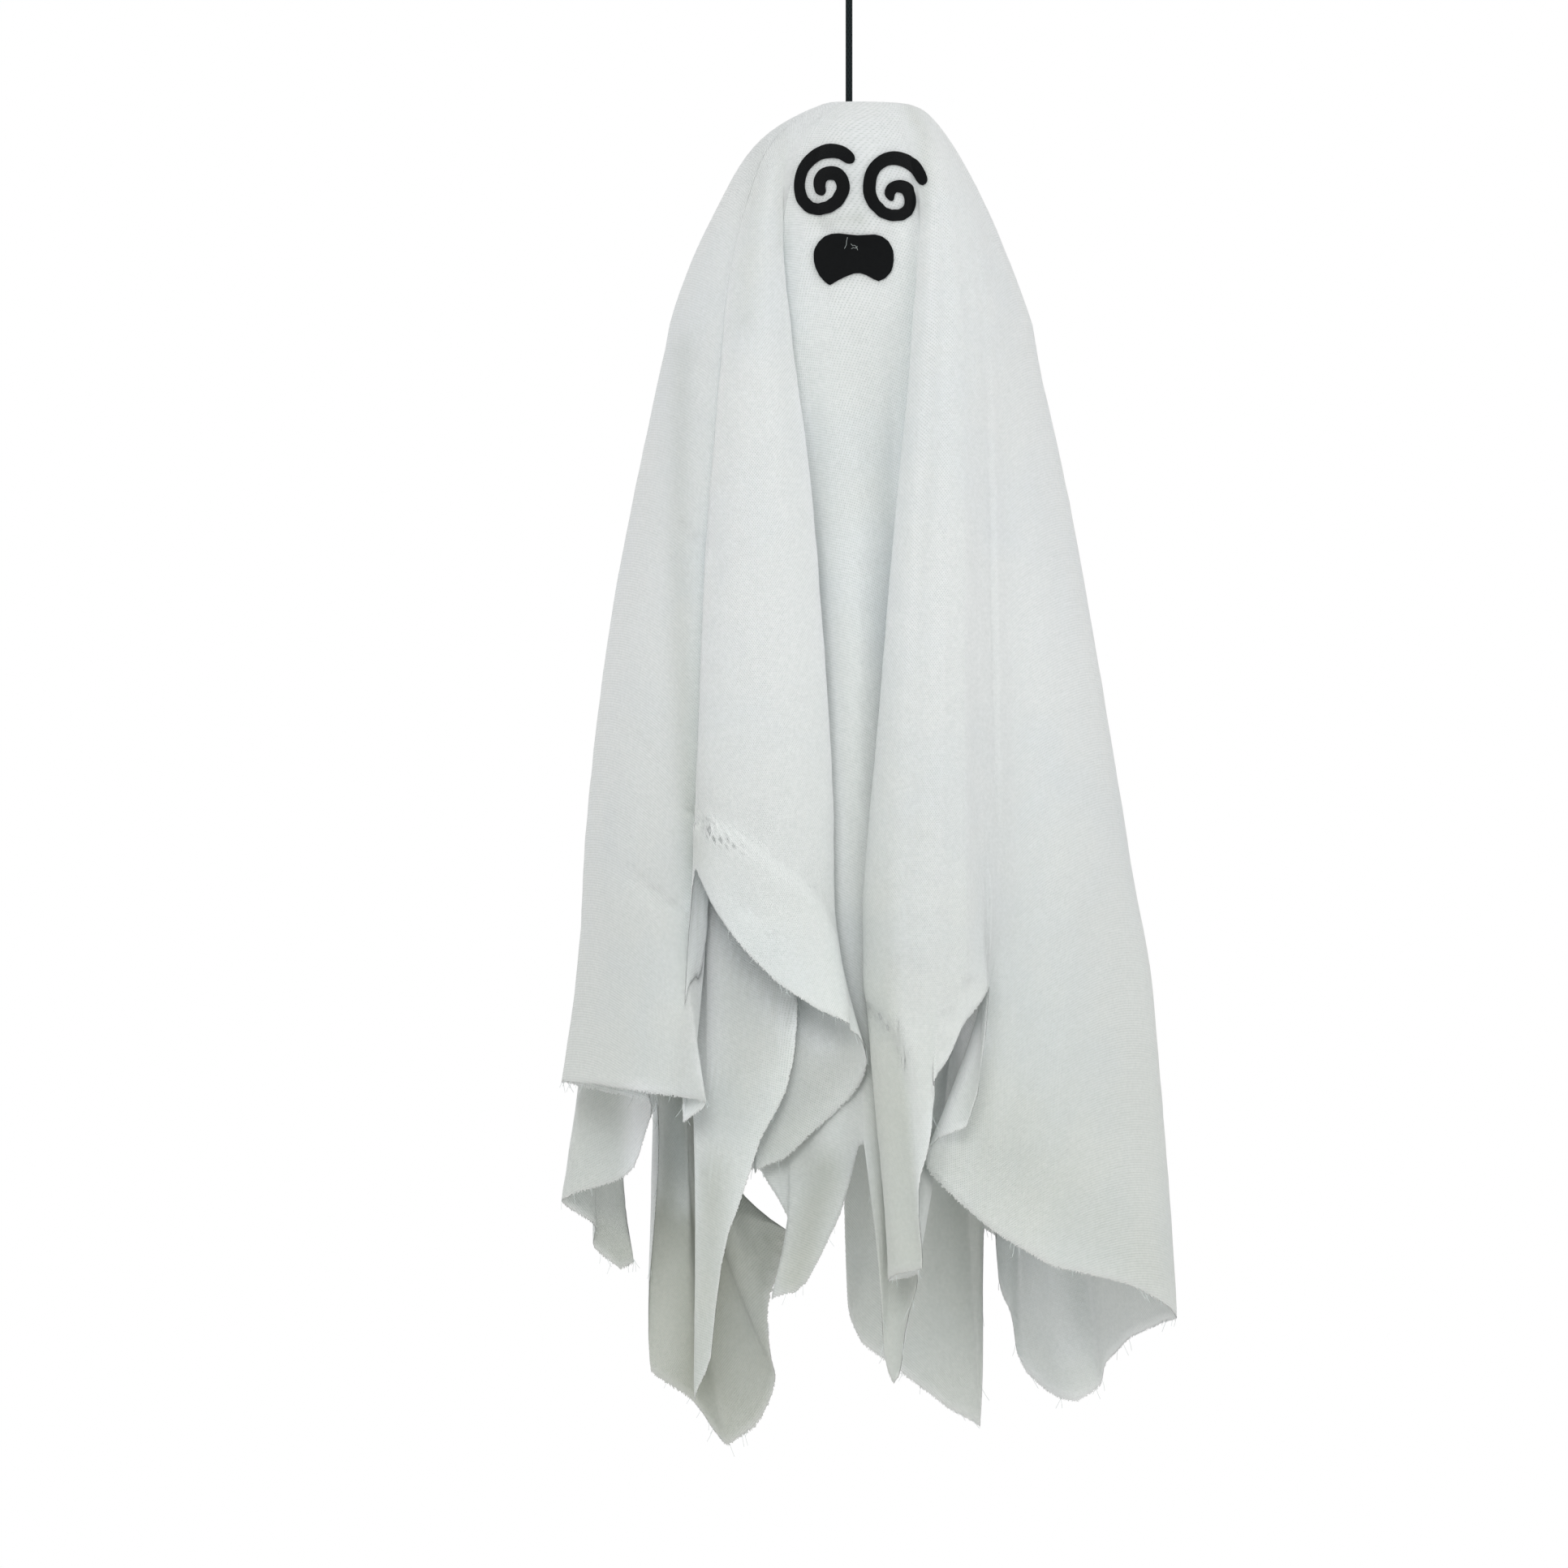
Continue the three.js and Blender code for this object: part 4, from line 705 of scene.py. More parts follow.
def upper_points(folds, temple, drop):
    """Where the columns are between the crown and the chin."""
    middle, half = outline_at(drop)
    shrink = half / TEMPLE_HALF
    depth = shrink if drop < TEMPLE_DROP else 1.0
    across = middle + (temple[:, 0] - TEMPLE_MIDDLE) * shrink
    oval = np.stack([across, temple[:, 1] * depth], axis=1)
    flatter = np.interp(drop, [TEMPLE_DROP, CHIN_DROP], [FLATTER_AT_TEMPLE, 1])
    across = middle + (folds[:, 0] - CHIN_MIDDLE) * half / CHIN_HALF
    chin = np.stack([across, folds[:, 1] * depth * flatter], axis=1)
    return oval + (chin - oval) * read_off(FOLD_ONSET, drop)


def skirt_points(folds, share):
    """Where the columns are at a share of the way from the chin to their own hem."""
    drop = CHIN_DROP + (folds[:, 6] - CHIN_DROP) * share
    chin, waist, hem = folds[:, 0:2], folds[:, 2:4], folds[:, 4:6]
    fall = np.clip((drop - CHIN_DROP) / (WAIST_DROP - CHIN_DROP), 0, 1)
    to_waist = (1 - (1 - fall) ** folds[:, 8])[:, None]
    reach = np.maximum(folds[:, 6] - WAIST_DROP, 1e-6)
    to_hem = (np.clip((drop - WAIST_DROP) / reach, 0, 1) ** folds[:, 7])[:, None]
    return chin + (waist - chin) * to_waist + (hem - waist) * to_hem, drop


def catmull_rom(knots, t):
    """The weights of four points at t, between the middle two of their knots."""
    def between(first, last, low, high):
        return ((knots[high] - t) * first + (t - knots[low]) * last) / (knots[high] - knots[low])

    unit = np.eye(4)
    lines = [between(unit[k], unit[k + 1], k, k + 1) for k in range(3)]
    curves = [between(lines[k], lines[k + 1], k, k + 2) for k in range(2)]
    return between(*curves, 1, 2)


def trial_weights(folds):
    """Evenly fine columns as weights of the listed ones: smooth for x and y, straight for z."""
    count, gaps = len(folds), mean_gaps(folds)
    spans = np.maximum(3, np.round(gaps / gaps.sum() * TRIAL_COLUMNS)).astype(int)
    knots = np.sqrt(gaps)
    smooth, straight = [], []
    for k in range(count):
        before, here, after = knots[k - 1], knots[k], knots[(k + 1) % count]
        places = (0, before, before + here, before + here + after)
        for step in range(spans[k]):
            part = step / spans[k]
            row, line = np.zeros(count), np.zeros(count)
            for offset, weight in zip((-1, 0, 1, 2), catmull_rom(places, before + here * part)):
                row[(k + offset) % count] += weight
            line[k], line[(k + 1) % count] = 1 - part, part
            smooth.append(row)
            straight.append(line)
    return np.array(smooth), np.array(straight)


def turning(places):
    """How far a closed line turns at each of its points."""
    ahead = np.roll(places, -1, axis=0) - places
    behind = np.roll(ahead, 1, axis=0)
    cross = behind[:, 0] * ahead[:, 1] - behind[:, 1] * ahead[:, 0]
    return np.abs(np.arctan2(cross, (behind * ahead).sum(axis=1)))


def fine_weights(folds):
    """The columns that are built: rounded at the turns of the folds, and closer together there."""
    smooth, straight = trial_weights(folds)
    for _ in range(TURN_ROUNDING):
        smooth = (np.roll(smooth, 1, axis=0) + 2 * smooth + np.roll(smooth, -1, axis=0)) / 4
    turns = sum(turning(smooth @ folds[:, first:first + 2]) for first in LEVELS)
    density = 1 + turns * (TURN_SHARE * len(turns) / turns.sum())
    walked = np.concatenate([[0], np.cumsum(density)])
    wanted = np.linspace(0, walked[-1], FINE_COLUMNS, endpoint=False)
    at = np.interp(wanted, walked, np.arange(len(walked)))
    low = np.floor(at).astype(int)
    part = (at - low)[:, None]
    high = (low + 1) % len(smooth)
    return [table[low] * (1 - part) + table[high] * part for table in (smooth, straight)]


def hold_out(points, drops):
    """Pushes the cloth away from the head's axis to the head's own surface and a little more."""
    low, high = (np.array(corner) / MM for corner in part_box("head_front_shell"))
    radius = (high[0] - low[0]) / 2
    top, height = CROWN_Z / MM - high[2], high[2] - low[2]
    share = (drops - top) / height
    least = read_off(HEAD_PROFILE, share) * radius + CLOTH_TO_HEAD
    least = np.where((share < 0) | (share > 1), 0, least)
    x, y = points[..., 0] - HEAD_MIDDLE_X, points[..., 1]
    away = np.maximum(np.hypot(x, y), 1e-6)
    push = np.maximum(1, least / away)
    return np.stack([HEAD_MIDDLE_X + x * push, y * push], axis=-1)


# Marks on the layers that face the front: layer, size, half width in mm, then points as x and drop.
CREASES = [
    ("left", 0.9, 3.0, [(-60.8, 163), (-55, 167), (-49.4, 173)]),
    ("left", 0.6, 3.0, [(-54, 102), (-46, 104), (-37, 107)]),
    ("left", 1.3, 3.2, [(-80.2, 292), (-72.8, 297), (-62.7, 303)]),
    ("left", 0.8, 2.5, [(-37.2, 305), (-31, 309.6)]),
    ("left", 0.5, 2.5, [(-86, 236), (-80, 239), (-74, 244)]),
    ("right", 0.9, 3.0, [(44, 331), (40, 336), (37.5, 343)]),
]
# Steps between layers: the left side of the line, going down it, lies higher by the size.
STEPS = [
    ("left", 4.4, 11.0, [(-51.3, 274.4), (-39.4, 279.5), (-27.5, 288), (-17.3, 294.8), (-8.8, 304.2),
                        (-4.5, 315.2), (-2, 327.1), (0, 345)]),
    ("right", -4.6, 9.0, [(-2, 326), (2.5, 337), (10.5, 341), (16.5, 349), (21.4, 358), (24.4, 372),
                          (25.2, 382.5), (25.4, 401), (26.2, 416), (28, 440)]),
]
# Painted shade and painted light along folds, creases, recesses and the undersides of layers, the battery
# box painted as showing through, and two faint bands of more open knit: strength (painted light when
# negative), half width, points.
PAINTED_SHADE_AND_KNIT_LINES = [
    (0.035, 3.0, [(53, 310), (52, 340), (51, 372), (50, 405), (50, 425)]),
    (0.02, 2.5, [(30.5, 89), (29.5, 130), (28.5, 171)]),
    (0.07, 13.0, [(3.5, 88), (3.5, 150)]),
    (0.15, 3.2, [(23.6, 2.7), (27.5, 12), (28.5, 23), (28.5, 42)]),
    (0.10, 2.8, [(-25, 10), (-25.8, 33), (-25.4, 57)]),
    (0.11, 5.0, [(-33, 12), (-35.5, 35), (-37.5, 60), (-39, 85)]),
    (0.16, 3.4, [(-13, 43), (-8, 44.8), (-3.5, 45.2), (3.5, 45)]),
    (0.08, 4.0, [(0.5, 27), (2, 35), (4, 43)]),
    (0.08, 2.2, [(-14, 60), (-12, 65), (-7.5, 69.5), (-1, 66), (5, 65.5), (11, 68.5)]),
    (0.15, 5.0, [(-62.5, 95), (-64, 150), (-63.5, 200), (-61, 250), (-58, 285)]),
    (-0.12, 2.6, [(-18.5, 110), (-11.5, 170), (-7, 230), (-3, 290), (2, 340)]),
    (0.04, 5.0, [(0, 190), (2, 250), (4, 300)]),
    (-0.08, 4.0, [(17.5, 142), (13, 200), (9, 245), (4, 300)]),
    (0.25, 8.0, [(-51, 405), (-53, 440), (-57, 485)]),
    (0.08, 11.0, [(-38, 330), (-36, 360), (-42, 388)]),
    (0.13, 9.0, [(-3, 358), (-14, 374), (-25, 396)]),
    (0.30, 8.0, [(-9, 402), (-14, 420), (-21, 445)]),
    (0.09, 18.0, [(62, 398), (88, 422), (114, 440)]),
    (-0.65, 6.5, [(-78, 378), (-77, 400), (-76.5, 410)]),
    (-0.40, 5.0, [(-66, 382), (-64, 400), (-63, 418)]),
    (-0.25, 5.0, [(-56, 304), (-53, 330), (-52, 365)]),
    (-0.16, 3.5, [(-49, 312), (-41, 324), (-31, 338), (-19, 349), (-8, 356)]),
    (0.12, 8.0, [(68, 470), (78, 484), (92, 486)]),
    (0.18, 7.0, [(-95, 430), (-86, 438)]),
    (-0.45, 4.5, [(47, 352), (42, 361), (37, 373), (34.5, 385)]),
]


def along_line(x, drop, half, points):
    """How close each place is to a line, and how far: more than 0 to its left, going down it."""
    nearest, side = np.full_like(x, 1e9), np.ones_like(x)
    for (ax, ad), (bx, bd) in zip(points, points[1:]):
        ux, ud = bx - ax, bd - ad
        t = np.clip(((x - ax) * ux + (drop - ad) * ud) / (ux * ux + ud * ud), 0, 1)
        away = np.hypot(x - ax - ux * t, drop - ad - ud * t)
        here = np.where((x - ax) * ud - (drop - ad) * ux < 0, 1, -1)
        side = np.where(away < nearest, here, side)
        nearest = np.minimum(nearest, away)
    return np.exp(-((nearest / half) ** 2)), side * nearest


def relief(x, drop, layers):
    """How far the creases and steps move the cloth outwards."""
    height = np.zeros_like(x)
    for layer, deep, half, points in CREASES:
        height -= layers[layer] * deep * along_line(x, drop, half, points)[0]
    for layer, high, half, points in STEPS:
        close, left = along_line(x, drop, half, points)
        height += layers[layer] * high / 2 * np.tanh(left / STEP_SHARPNESS) * close
    return height


def painted_shade_and_knit_at(x, drop):
    return 1 - sum(strength * along_line(x, drop, half, points)[0] for strength, half, points in PAINTED_SHADE_AND_KNIT_LINES)


def as_seen(points, drops):
    """Below the chin, puts the places that were read off the view at their own depth."""
    below = np.clip((drops - CHIN_DROP) / SEEN_OVER, 0, 1)
    wider = 1 + points[..., 1] / CAMERA_AWAY * below
    x = CAMERA_X + (points[..., 0] - CAMERA_X) * wider
    return np.stack([x, points[..., 1]], axis=-1), CAMERA_DROP + (drops - CAMERA_DROP) * wider


def cloth_grid():
    """The cloth's middle surface in mm: fine columns by rows by x, y, drop, and its faces' painted shade."""
    folds = fold_columns()
    smooth, straight = fine_weights(folds)
    temple = temple_points(folds)
    rows, drops = [], []
    for drop in (CHIN_DROP * np.linspace(0, 1, CROWN_ROWS) ** CROWN_ROW_EASE)[:-1]:
        rows.append(smooth @ upper_points(folds, temple, max(drop, CROWN_LIP_DROP)))
        drops.append(np.full(len(smooth), drop))
    for share in np.linspace(0, 1, SKIRT_ROWS) ** SKIRT_ROW_EASE:
        place, drop = skirt_points(folds, share)
        rows.append(smooth @ place)
        drops.append(straight @ drop)
    lip = rows[0]
    rim = lip * (CLOTH_HOLE_RADIUS / np.hypot(*lip.T))[:, None]
    rows = [rim + (lip - rim) * (k / RIM_ROWS) for k in range(RIM_ROWS)] + rows
    drops = [np.zeros(len(smooth))] * RIM_ROWS + drops
    points, drops = np.stack(rows, axis=1), np.stack(drops, axis=1)
    for _ in range(SMOOTHING_PASSES):
        points[:, 1:-1] = (points[:, :-2] + 2 * points[:, 1:-1] + points[:, 2:]) / 4
    points, drops = as_seen(points, drops)
    points = hold_out(points, drops)
    # The crown is a shallow dome instead of a flat lid.
    dome = DOME_CURVE * np.hypot(points[..., 0], points[..., 1]) ** 2 * (1 - drops / DOME_DROP)
    drops = drops + np.where(drops < DOME_DROP, dome, 0)
    grid = np.concatenate([points, drops[..., None]], axis=-1)
    return grid, straight @ folds[:, 9:11], straight @ turns_round(folds), front_layers(straight)


def front_layers(straight):
    """How much each fine column belongs to the left and to the right layer that faces the front."""
    numbers = np.arange(straight.shape[1])
    chosen = {
        "left": numbers <= LEFT_FOLD_EDGE,
        "right": (numbers >= RIGHT_FOLD_EDGE) & (numbers <= RIGHT_FRONT_END),
    }
    return {name: (straight @ columns.astype(float))[:, None] for name, columns in chosen.items()}


def turns_round(folds):
    """The share round as a point on a circle, so that it can be averaged across the seam."""
    angle = 2 * math.pi * shares_round(mean_gaps(folds))
    return np.stack([np.cos(angle), np.sin(angle)], axis=1)


def grid_normals(grid):
    down = np.gradient(grid, axis=1)
    across = np.roll(grid, -1, axis=0) - np.roll(grid, 1, axis=0)
    normal = np.cross(down, across)
    return normal / np.maximum(np.linalg.norm(normal, axis=-1, keepdims=True), 1e-9)


def rumple(grid, layers):
    """Small unevenness of a limp cloth, and the creases that the front shows."""
    normals, drops = grid_normals(grid), CROWN_Z / MM - grid[..., 2]
    front = np.clip(-normals[..., 1] * 1.6, 0, 1)
    height = relief(grid[..., 0], drops, layers) * front
    for spot in np.ndindex(height.shape):
        x, y, z = grid[spot]
        height[spot] += noise.noise(Vector((x, y, z * 0.45)) / BROAD_SIZE) * BROAD_HEIGHT
        height[spot] += noise.noise(Vector((x, y, z)) / SMALL_SIZE + Vector((7, 3, 1))) * SMALL_HEIGHT
    height *= np.clip((drops - UNEVEN_FROM) / UNEVEN_OVER, 0, 1)
    return grid + normals * height[..., None]


def cloth_faces(columns, rows):
    """The outer skin's faces alone, and all faces: two skins, the rim round the cord and the hem's."""
    i, j = np.meshgrid(np.arange(columns), np.arange(rows - 1), indexing="ij")
    here, beside = i * rows + j, (i + 1) % columns * rows + j
    skin = np.stack([here, here + 1, beside + 1, beside], axis=-1).reshape(-1, 4)
    under = columns * rows
    top, top_beside = here[:, 0], beside[:, 0]
    low, low_beside = top + rows - 1, top_beside + rows - 1
    neck_rim = np.stack([top, top_beside, top_beside + under, top + under], axis=1)
    hem_rim = np.stack([low_beside, low, low + under, low_beside + under], axis=1)
    return skin, np.concatenate([skin, skin[:, ::-1] + under, neck_rim, hem_rim])


def store(mesh, name, values):
    attribute = mesh.attributes.new(name=name, type="FLOAT", domain="POINT")
    attribute.data.foreach_set("value", np.asarray(values, dtype=np.float32))


def lay_flat(mesh, place, around):
    """Lays the cloth's own flat coordinates on it, and stores how far each point is from the hem."""
    lengths = np.linalg.norm(np.diff(place, axis=1), axis=-1) * MM
    down = np.concatenate([np.zeros((len(place), 1)), np.cumsum(lengths, axis=1)], axis=1)
    around = around / np.linalg.norm(around, axis=1, keepdims=True)
    flat = np.stack([down * around[:, :1], down * around[:, 1:]], axis=-1).reshape(-1, 2)
    corner = np.zeros(len(mesh.loops), dtype=np.int32)
    mesh.loops.foreach_get("vertex_index", corner)
    mesh.uv_layers.new(name="flat").data.foreach_set("uv", flat[corner % len(flat)].ravel())
    store(mesh, "hem", np.tile((down[:, -1:] - down).ravel(), 2))


def build_cloth():
    grid, layer_painted_shades, around, layers = cloth_grid()
    place = grid.copy()
    place[..., 2] = CROWN_Z / MM - grid[..., 2]
    place = rumple(place, layers)
    normals = grid_normals(place)
    columns, rows = place.shape[:2]
    half = np.full((1, rows, 1), CLOTH_THICKNESS / 2)
    half[:, -1] = HEM_THICKNESS / 2
    outer, inner = ((place + side * normals * half) * MM for side in (1, -1))
    skin, faces = cloth_faces(columns, rows)
    mesh = bpy.data.meshes.new("draped_voile")
    mesh.from_pydata(np.concatenate([outer, inner]).reshape(-1, 3).tolist(), [], faces.tolist())
    lay_flat(mesh, place, around)
    # Painted shade: the lower and inner layers darken below a drop, where less light reaches, and the lines
    # add painted shade and painted light.
    fade = np.clip((grid[..., 2] - PAINTED_SHADE_FROM) / PAINTED_SHADE_OVER, 0, 1)
    shade = painted_shade_and_knit_at(place[..., 0], CROWN_Z / MM - place[..., 2])
    # The painted shade goes only on the side of each skin that faces the front.
    shown = normals[..., 1] < 0, normals[..., 1] > 0
    painted_shade_and_knit = [
        (1 - (1 - layer_painted_shades[:, side, None]) * fade) * np.where(shown[side], shade, 1) for side in (0, 1)
    ]
    store(mesh, "painted_shade_and_knit", np.minimum(np.concatenate(painted_shade_and_knit).ravel(), MOST_PAINTED_LIGHT))
    mesh.polygons.foreach_set("use_smooth", [True] * len(mesh.polygons))
    cloth = new_object("draped_voile", mesh)
    dress(cloth, "figure", "white_voile", "ghost_cloth")
    return cloth, outer, skin


# ---------------------------------------------------------------- cord, loop and knot

CORD_DIAMETER = 0.0026
CORD_TOP_Z = -0.0256
LOOP_HALF = [
    (-0.0009, -0.0202), (-0.0018, -0.0172), (-0.0039, -0.0133), (-0.0065, -0.0067), (-0.0047, -0.0009),
]
WRAP_THICKNESS = CORD_DIAMETER * 0.42
# Each wrap of the knot: how far above its middle, tilt and turn.
WRAPS = [(-0.0016, 14, 20), (0.0001, -12, 80), (0.0017, 10, 150)]


def add_cord(name, points, body, node, shares=None):
    """A round cord along one smooth open spline, with a share of its radius at each point."""
    curve = bpy.data.curves.new(name, "CURVE")
    curve.dimensions = "3D"
    curve.bevel_depth = CORD_DIAMETER / 2
    curve.bevel_resolution = 5
    curve.use_fill_caps = True
    spline = curve.splines.new("POLY")
    spline.points.add(len(points) - 1)
    for knot, place, share in zip(spline.points, points, shares or [1] * len(points)):
        knot.co = (*place, 1)
        knot.radius = share
    spline.use_smooth = True
    cord = new_object(name, curve)
    dress(cord, body, "black_cord", node)
    return cord


def smooth_route(points, steps):
    """A Catmull-Rom curve through points, each span cut into steps."""
    ends = [points[0] * 2 - points[1], *points, points[-1] * 2 - points[-2]]
    route = []
    for a, b, c, d in zip(ends, ends[1:], ends[2:], ends[3:]):
        for t in (k / steps for k in range(steps)):
            bend = (2 * a - 5 * b + 4 * c - d) * t * t + (3 * b - a - 3 * c + d) * t ** 3
            route.append(0.5 * (2 * b + (c - a) * t + bend))
    return [*route, points[-1]]


def build_cords():
    straight = [(0, 0, z) for z in np.linspace(CROWN_Z, CORD_TOP_Z, 16)]
    rise = np.sin(np.radians([20, 40, 60, 75, 86]))
    cap = [(0, 0, CORD_TOP_Z + CORD_DIAMETER / 2 * part) for part in rise]
    shares = [1] * len(straight) + list(np.sqrt(1 - rise ** 2))
    cord = add_cord("braided_hanging_cord", straight + cap, "cord", "hanging_cord", shares)
    left = [Vector((x, 0, z)) for x, z in LOOP_HALF]
    right = [Vector((-x, 0, z)) for x, z in reversed(LOOP_HALF)]
    ring = smooth_route([*left, Vector((0, 0, CORD_DIAMETER / 2)), *right], 5)
    return cord, add_cord("braided_loop", [tuple(p) for p in ring], "loop", "hanging_loop")


def deselect():
    bpy.ops.object.select_all(action="DESELECT")


def joined(pieces, name):
    """Joins pieces into one whose place is in its mesh."""
    deselect()
    for piece in pieces:
        piece.select_set(True)
    bpy.context.view_layer.objects.active = pieces[0]
    bpy.ops.object.join()
    whole = bpy.context.active_object
    whole.name = name
    bpy.ops.object.transform_apply(location=True, rotation=True, scale=True)
    bpy.ops.object.shade_smooth()
    return whole


def build_loop_knot():
    """An overhand knot pulled tight: three tilted wraps of cord round the two legs of the loop."""
    low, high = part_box("loop_knot")
    middle = (low[2] + high[2]) / 2
    wraps = []
    for lift, tilt, turn in WRAPS:
        deselect()
        bpy.ops.mesh.primitive_torus_add(
            major_radius=0.0034 - WRAP_THICKNESS, minor_radius=WRAP_THICKNESS,
            major_segments=40, minor_segments=12,
            location=(0, 0, middle + lift), rotation=(math.radians(tilt), 0, math.radians(turn)),
        )
        wraps.append(bpy.context.active_object)
    deselect()
    bpy.ops.mesh.primitive_uv_sphere_add(
        segments=24, ring_count=14, radius=0.0027, location=(0, 0, middle)
    )
    core = bpy.context.active_object
    core.scale = (1, 1, 1.05)
    knot = joined([core, *wraps], "tight_loop_knot")
    dress(knot, "loop", "black_cord", "loop_knot")
    return knot


# ---------------------------------------------------------------- felt face

FELT_THICKNESS = 0.001
FELT_LIFT = 0.0004

# Each spiral's middle line from its outer end, as x, drop and half width in mm.
LEFT_SPIRAL = [
    (1.5, 22.6, 1.6), (0.4, 21.1, 2.2), (-1.2, 19.7, 2.4), (-3.4, 18.5, 2.5), (-7.1, 18.0, 2.6),
    (-11.2, 19.0, 2.35), (-14.9, 21.7, 2.15), (-17.6, 25.4, 2.05), (-18.6, 30.3, 2.05),
    (-18.2, 34.4, 2.1), (-16.1, 38.1, 2.25),
    (-13.2, 39.8, 2.25), (-10.0, 39.8, 2.25), (-6.3, 38.5, 2.35), (-3.4, 35.6, 2.4), (-2.1, 31.9, 2.4),
    (-2.8, 28.6, 2.45), (-4.6, 26.8, 2.5), (-7.1, 26.4, 2.5), (-9.5, 27.2, 2.3), (-10.8, 29.1, 2.2),
    (-10.9, 31.3, 2.1), (-10.4, 33.1, 1.85), (-9.9, 34.8, 1.3),
]
RIGHT_SPIRAL = [
    (27.9, 30.8, 1.5), (27.6, 28.6, 2.1), (25.4, 24.6, 2.35), (22.1, 22.1, 2.45), (18.0, 20.9, 2.5),
    (13.9, 21.4, 2.45), (10.2, 24.1, 2.35), (8.1, 27.8, 2.35), (7.6, 31.9, 2.35), (8.3, 36.0, 2.3),
    (10.6, 39.3, 2.2), (13.5, 41.6, 2.15), (17.2, 42.3, 2.15), (20.9, 41.4, 2.15), (23.1, 38.5, 2.2),
    (23.1, 35.2, 2.25), (21.5, 32.3, 2.35), (18.8, 31.4, 2.35), (16.4, 32.1, 2.1), (15.4, 34.0, 1.9),
    (15.6, 35.6, 1.3), (16.0, 37.0, 0.5),
]
MOUTH_TOP = np.array([
    (-13.33, 58.3), (-13.2, 56.4), (-12.84, 55.0), (-11.4, 52.5), (-9.13, 50.4), (-6.67, 49.5), (-3.4, 49.2),
    (-0.1, 49.6), (3.2, 49.95), (6.5, 49.8), (9.8, 49.6), (12.25, 50.2), (14.7, 52.1), (16.16, 54.6),
    (16.7, 56.4), (16.86, 57.9),
])
MOUTH_BOTTOM = np.array([
    (-13.33, 58.3), (-13.15, 60.4), (-12.63, 62.4), (-11.2, 65.25), (-9.13, 67.7), (-7.28, 68.95),
    (-4.2, 67.1), (-0.9, 65.5), (2, 64.4), (4.4, 64.35), (6.5, 65.05), (9, 66.5), (11.2, 67.4),
    (13.7, 66.3), (15.75, 64), (16.5, 62), (16.8, 60), (16.86, 57.9),
])
# The felt lies nearer to the camera than the middle of the figure, so it is drawn in by this much.
FACE_SHRINK = 0.9934


def laid_on(tree, x, drop, lift):
    """Where a place that the view shows lies on a surface, lifted a little towards the front."""
    x = CAMERA_X + (x - CAMERA_X) * FACE_SHRINK
    drop = CAMERA_DROP + (drop - CAMERA_DROP) * FACE_SHRINK
    hit = tree.ray_cast(Vector((x * MM, -1, height_of(drop))), Vector((0, 1, 0)))[0]
    return hit - Vector((0, lift, 0))


def edit_mesh(*steps):
    bpy.ops.object.mode_set(mode="EDIT")
    bpy.ops.mesh.select_all(action="SELECT")
    for step in steps:
        step()
    bpy.ops.object.mode_set(mode="OBJECT")


def apply_modifier(piece, name, kind, **settings):
    modifier = piece.modifiers.new(name, kind)
    for setting, value in settings.items():
        setattr(modifier, setting, value)
    bpy.ops.object.modifier_apply(modifier=name)


def felt_from_grid(name, columns, rows, place, node, cloth_tree):
    """A sheet of felt laid on the cloth: a grid whose points are put where place(u, v) says."""
    deselect()
    bpy.ops.mesh.primitive_grid_add(x_subdivisions=columns, y_subdivisions=rows, size=2)
    piece = bpy.context.active_object
    piece.name = name
    for vertex in piece.data.vertices:
        x, drop = place((vertex.co.x + 1) / 2, (vertex.co.y + 1) / 2)
        vertex.co = laid_on(cloth_tree, x, drop, FELT_LIFT)
    edit_mesh(
        lambda: bpy.ops.mesh.remove_doubles(threshold=0.00001),
        lambda: bpy.ops.mesh.normals_make_consistent(inside=False),
    )
    if sum(face.normal.y for face in piece.data.polygons) > 0:
        edit_mesh(bpy.ops.mesh.flip_normals)
    apply_modifier(piece, "thickness", "SOLIDIFY", thickness=FELT_THICKNESS, offset=1)
    apply_modifier(piece, "soft cut edge", "BEVEL", width=0.0003, segments=2, limit_method="ANGLE")
    bpy.ops.object.shade_smooth_by_angle(angle=math.radians(45))
    dress(piece, "figure", "black_felt", node)
    return piece


def spiral_place(points):
    """Puts u along a spiral's smooth middle line and v across it, with a slightly uneven cut."""
    rows = np.array(smooth_route([Vector(point) for point in points], 8))
    steps = np.linalg.norm(np.diff(rows[:, :2], axis=0), axis=1)
    walked = np.concatenate([[0], np.cumsum(steps)]) / steps.sum()

    def row_at(u):
        return Vector([np.interp(min(max(u, 0), 1), walked, rows[:, k]) for k in range(3)])

    def place(u, v):
        x, drop, half = row_at(u)
        along = (row_at(u + 0.01) - row_at(u - 0.01)).to_2d().normalized()
        ends = min(u, 1 - u) * steps.sum() / half
        rounding = math.sqrt(1 - (1 - min(1.0, 0.02 + ends)) ** 2)
        cut = 0.07 * math.sin(u * 61 + x) * (1 if v > 0.5 else -1)
        reach = (half + cut) * rounding * (1 - 2 * v)
        return x - along.y * reach, drop + along.x * reach
    return place


def mouth_place(u, v):
    across = (1 - math.cos(math.pi * u)) / 2
    left, right = MOUTH_TOP[0, 0] + 0.05, MOUTH_TOP[-1, 0] - 0.05
    x = left + (right - left) * across
    top, bottom = read_off(MOUTH_TOP, x), read_off(MOUTH_BOTTOM, x)
    return x, top + (bottom - top) * v


def build_face(cloth_tree):
    for node, points in (("left_eye_felt", LEFT_SPIRAL), ("right_eye_felt", RIGHT_SPIRAL)):
        felt_from_grid(node.replace("felt", "spiral"), 170, 6, spiral_place(points), node, cloth_tree)
    return felt_from_grid("cut_mouth", 60, 24, mouth_place, "mouth_felt", cloth_tree)


# ---------------------------------------------------------------- loose threads

THREAD_RADIUS = 0.00009
LINT_RADIUS = 0.00006
THREAD_SIDES = 4
THREADS_AT_HEM = 170
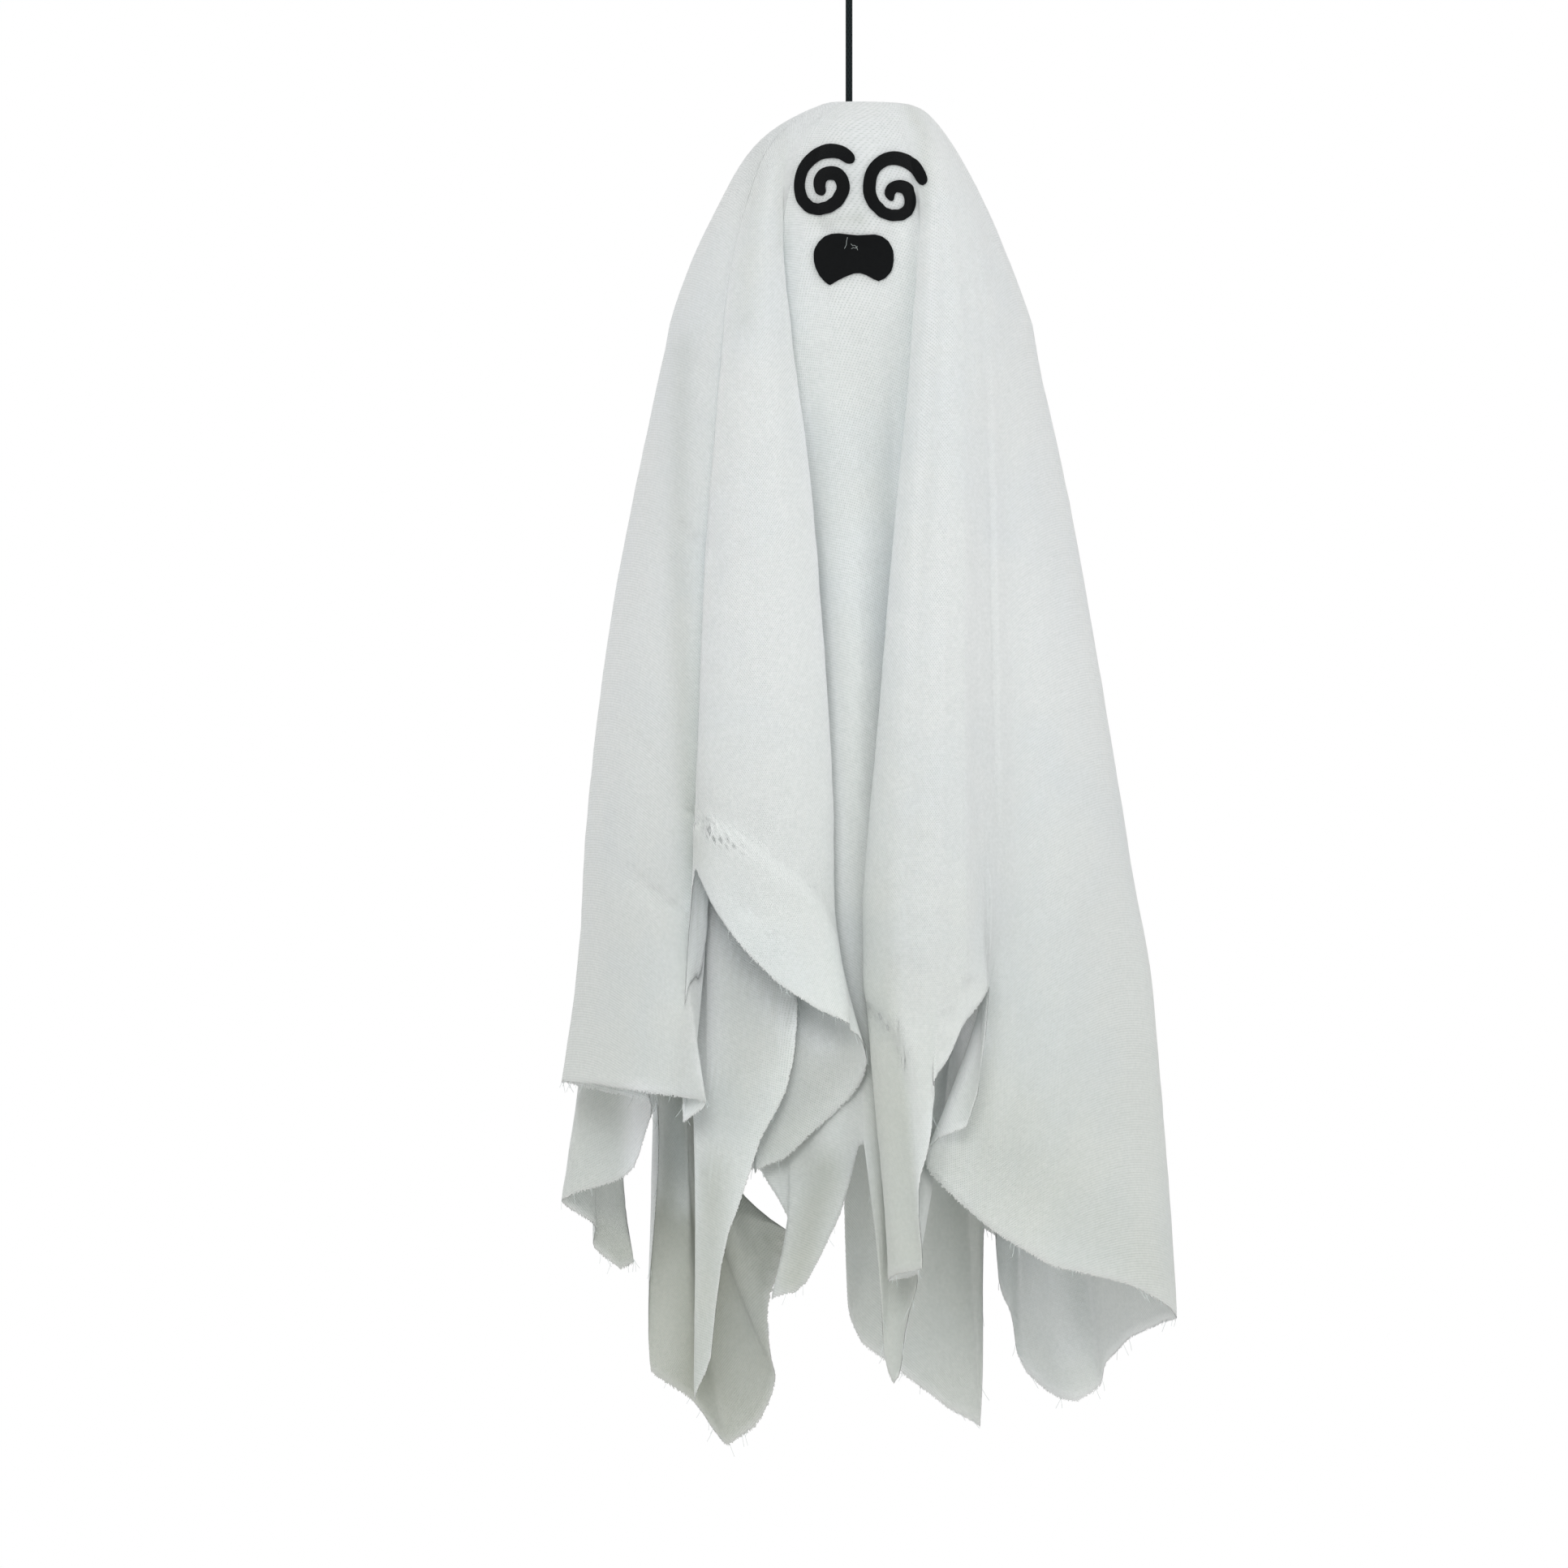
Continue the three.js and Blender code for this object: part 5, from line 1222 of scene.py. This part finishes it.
# White lint on the mouth, as x and drop in mm.
LINT = [
    [(-0.5, 49.6), (-0.6, 50.9), (-0.9, 52.1), (-1.0, 53.6), (-1.7, 55)],
    [(0.7, 53.1), (1.4, 53.9), (2.2, 53.7), (2.9, 54.6), (3.3, 55.6)],
    [(0.9, 55.1), (1.6, 54.6), (2.5, 54.9), (3.2, 54.1)],
]


def thread_rings(route, radius):
    """A thin prism along a route: its points and its faces."""
    points, faces = [], []
    for k, place in enumerate(route):
        along = (route[min(k + 1, len(route) - 1)] - route[max(k - 1, 0)]).normalized()
        side = along.orthogonal().normalized()
        other = along.cross(side)
        for n in range(THREAD_SIDES):
            turn = 2 * math.pi * n / THREAD_SIDES
            points.append(place + (side * math.cos(turn) + other * math.sin(turn)) * radius)
    last = (len(route) - 1) * THREAD_SIDES
    for start in range(0, last, THREAD_SIDES):
        for n in range(THREAD_SIDES):
            a, b = start + n, start + (n + 1) % THREAD_SIDES
            faces.append((a, b, b + THREAD_SIDES, a + THREAD_SIDES))
    faces.append(tuple(range(THREAD_SIDES - 1, -1, -1)))
    faces.append(tuple(range(last, last + THREAD_SIDES)))
    return points, faces


def hem_threads(hem):
    """Short frayed ends that hang from the raw hem, curling a little."""
    pick = random.Random(20)
    routes = []
    for _ in range(THREADS_AT_HEM):
        k = pick.randrange(len(hem))
        part = pick.random()
        start = Vector(hem[k]) * (1 - part) + Vector(hem[(k + 1) % len(hem)]) * part
        start.z += 0.0015
        reach = pick.uniform(0.0025, 0.006)
        lean = Vector((pick.uniform(-0.6, 0.6), pick.uniform(-0.3, 0.3), -1)).normalized()
        curl = Vector((pick.uniform(-1, 1), pick.uniform(-1, 1), 0)) * 0.0012
        routes.append([start + lean * reach * t + curl * t * t for t in (0, 0.25, 0.5, 0.75, 1)])
    return routes


def build_threads(hem, mouth):
    felt_tree = BVHTree.FromObject(mouth, bpy.context.evaluated_depsgraph_get())
    threads = [(route, THREAD_RADIUS) for route in hem_threads(hem)]
    for line in LINT:
        threads.append(([laid_on(felt_tree, x, drop, LINT_RADIUS) for x, drop in line], LINT_RADIUS))
    points, faces = [], []
    for route, radius in threads:
        ring, sides = thread_rings(route, radius)
        faces += [tuple(n + len(points) for n in face) for face in sides]
        points += ring
    mesh = bpy.data.meshes.new("loose_threads")
    mesh.from_pydata([tuple(p) for p in points], [], faces)
    whole = new_object("loose_threads", mesh)
    finish = fibrous("loose_thread", 2600.0, VOILE_SHADE, VOILE_HEM, 0.00005, Roughness=0.9)
    dress(whole, "figure", "white_voile", material=finish)
    return whole


# ---------------------------------------------------------------- assembly

add_camera()
add_area_lamp("key", (-0.22, -2.15, 0.48), (0, 0, -0.2), 0.8, KEY_WATTS)
add_area_lamp("fill", (1.5, -1.5, -0.1), (0, 0, -0.35), 1.2, FILL_WATTS)
light_the_world()
add_floor()
finish_cad_nodes()

hanging_cord, hanging_loop = build_cords()
loop_knot = build_loop_knot()

cloth, outer_skin, skin_faces = build_cloth()
mouth_felt = build_face(BVHTree.FromPolygons(outer_skin.reshape(-1, 3).tolist(), skin_faces.tolist()))
threads = build_threads(outer_skin[:, -1], mouth_felt)

bpy.context.scene.view_settings.view_transform = "Standard"
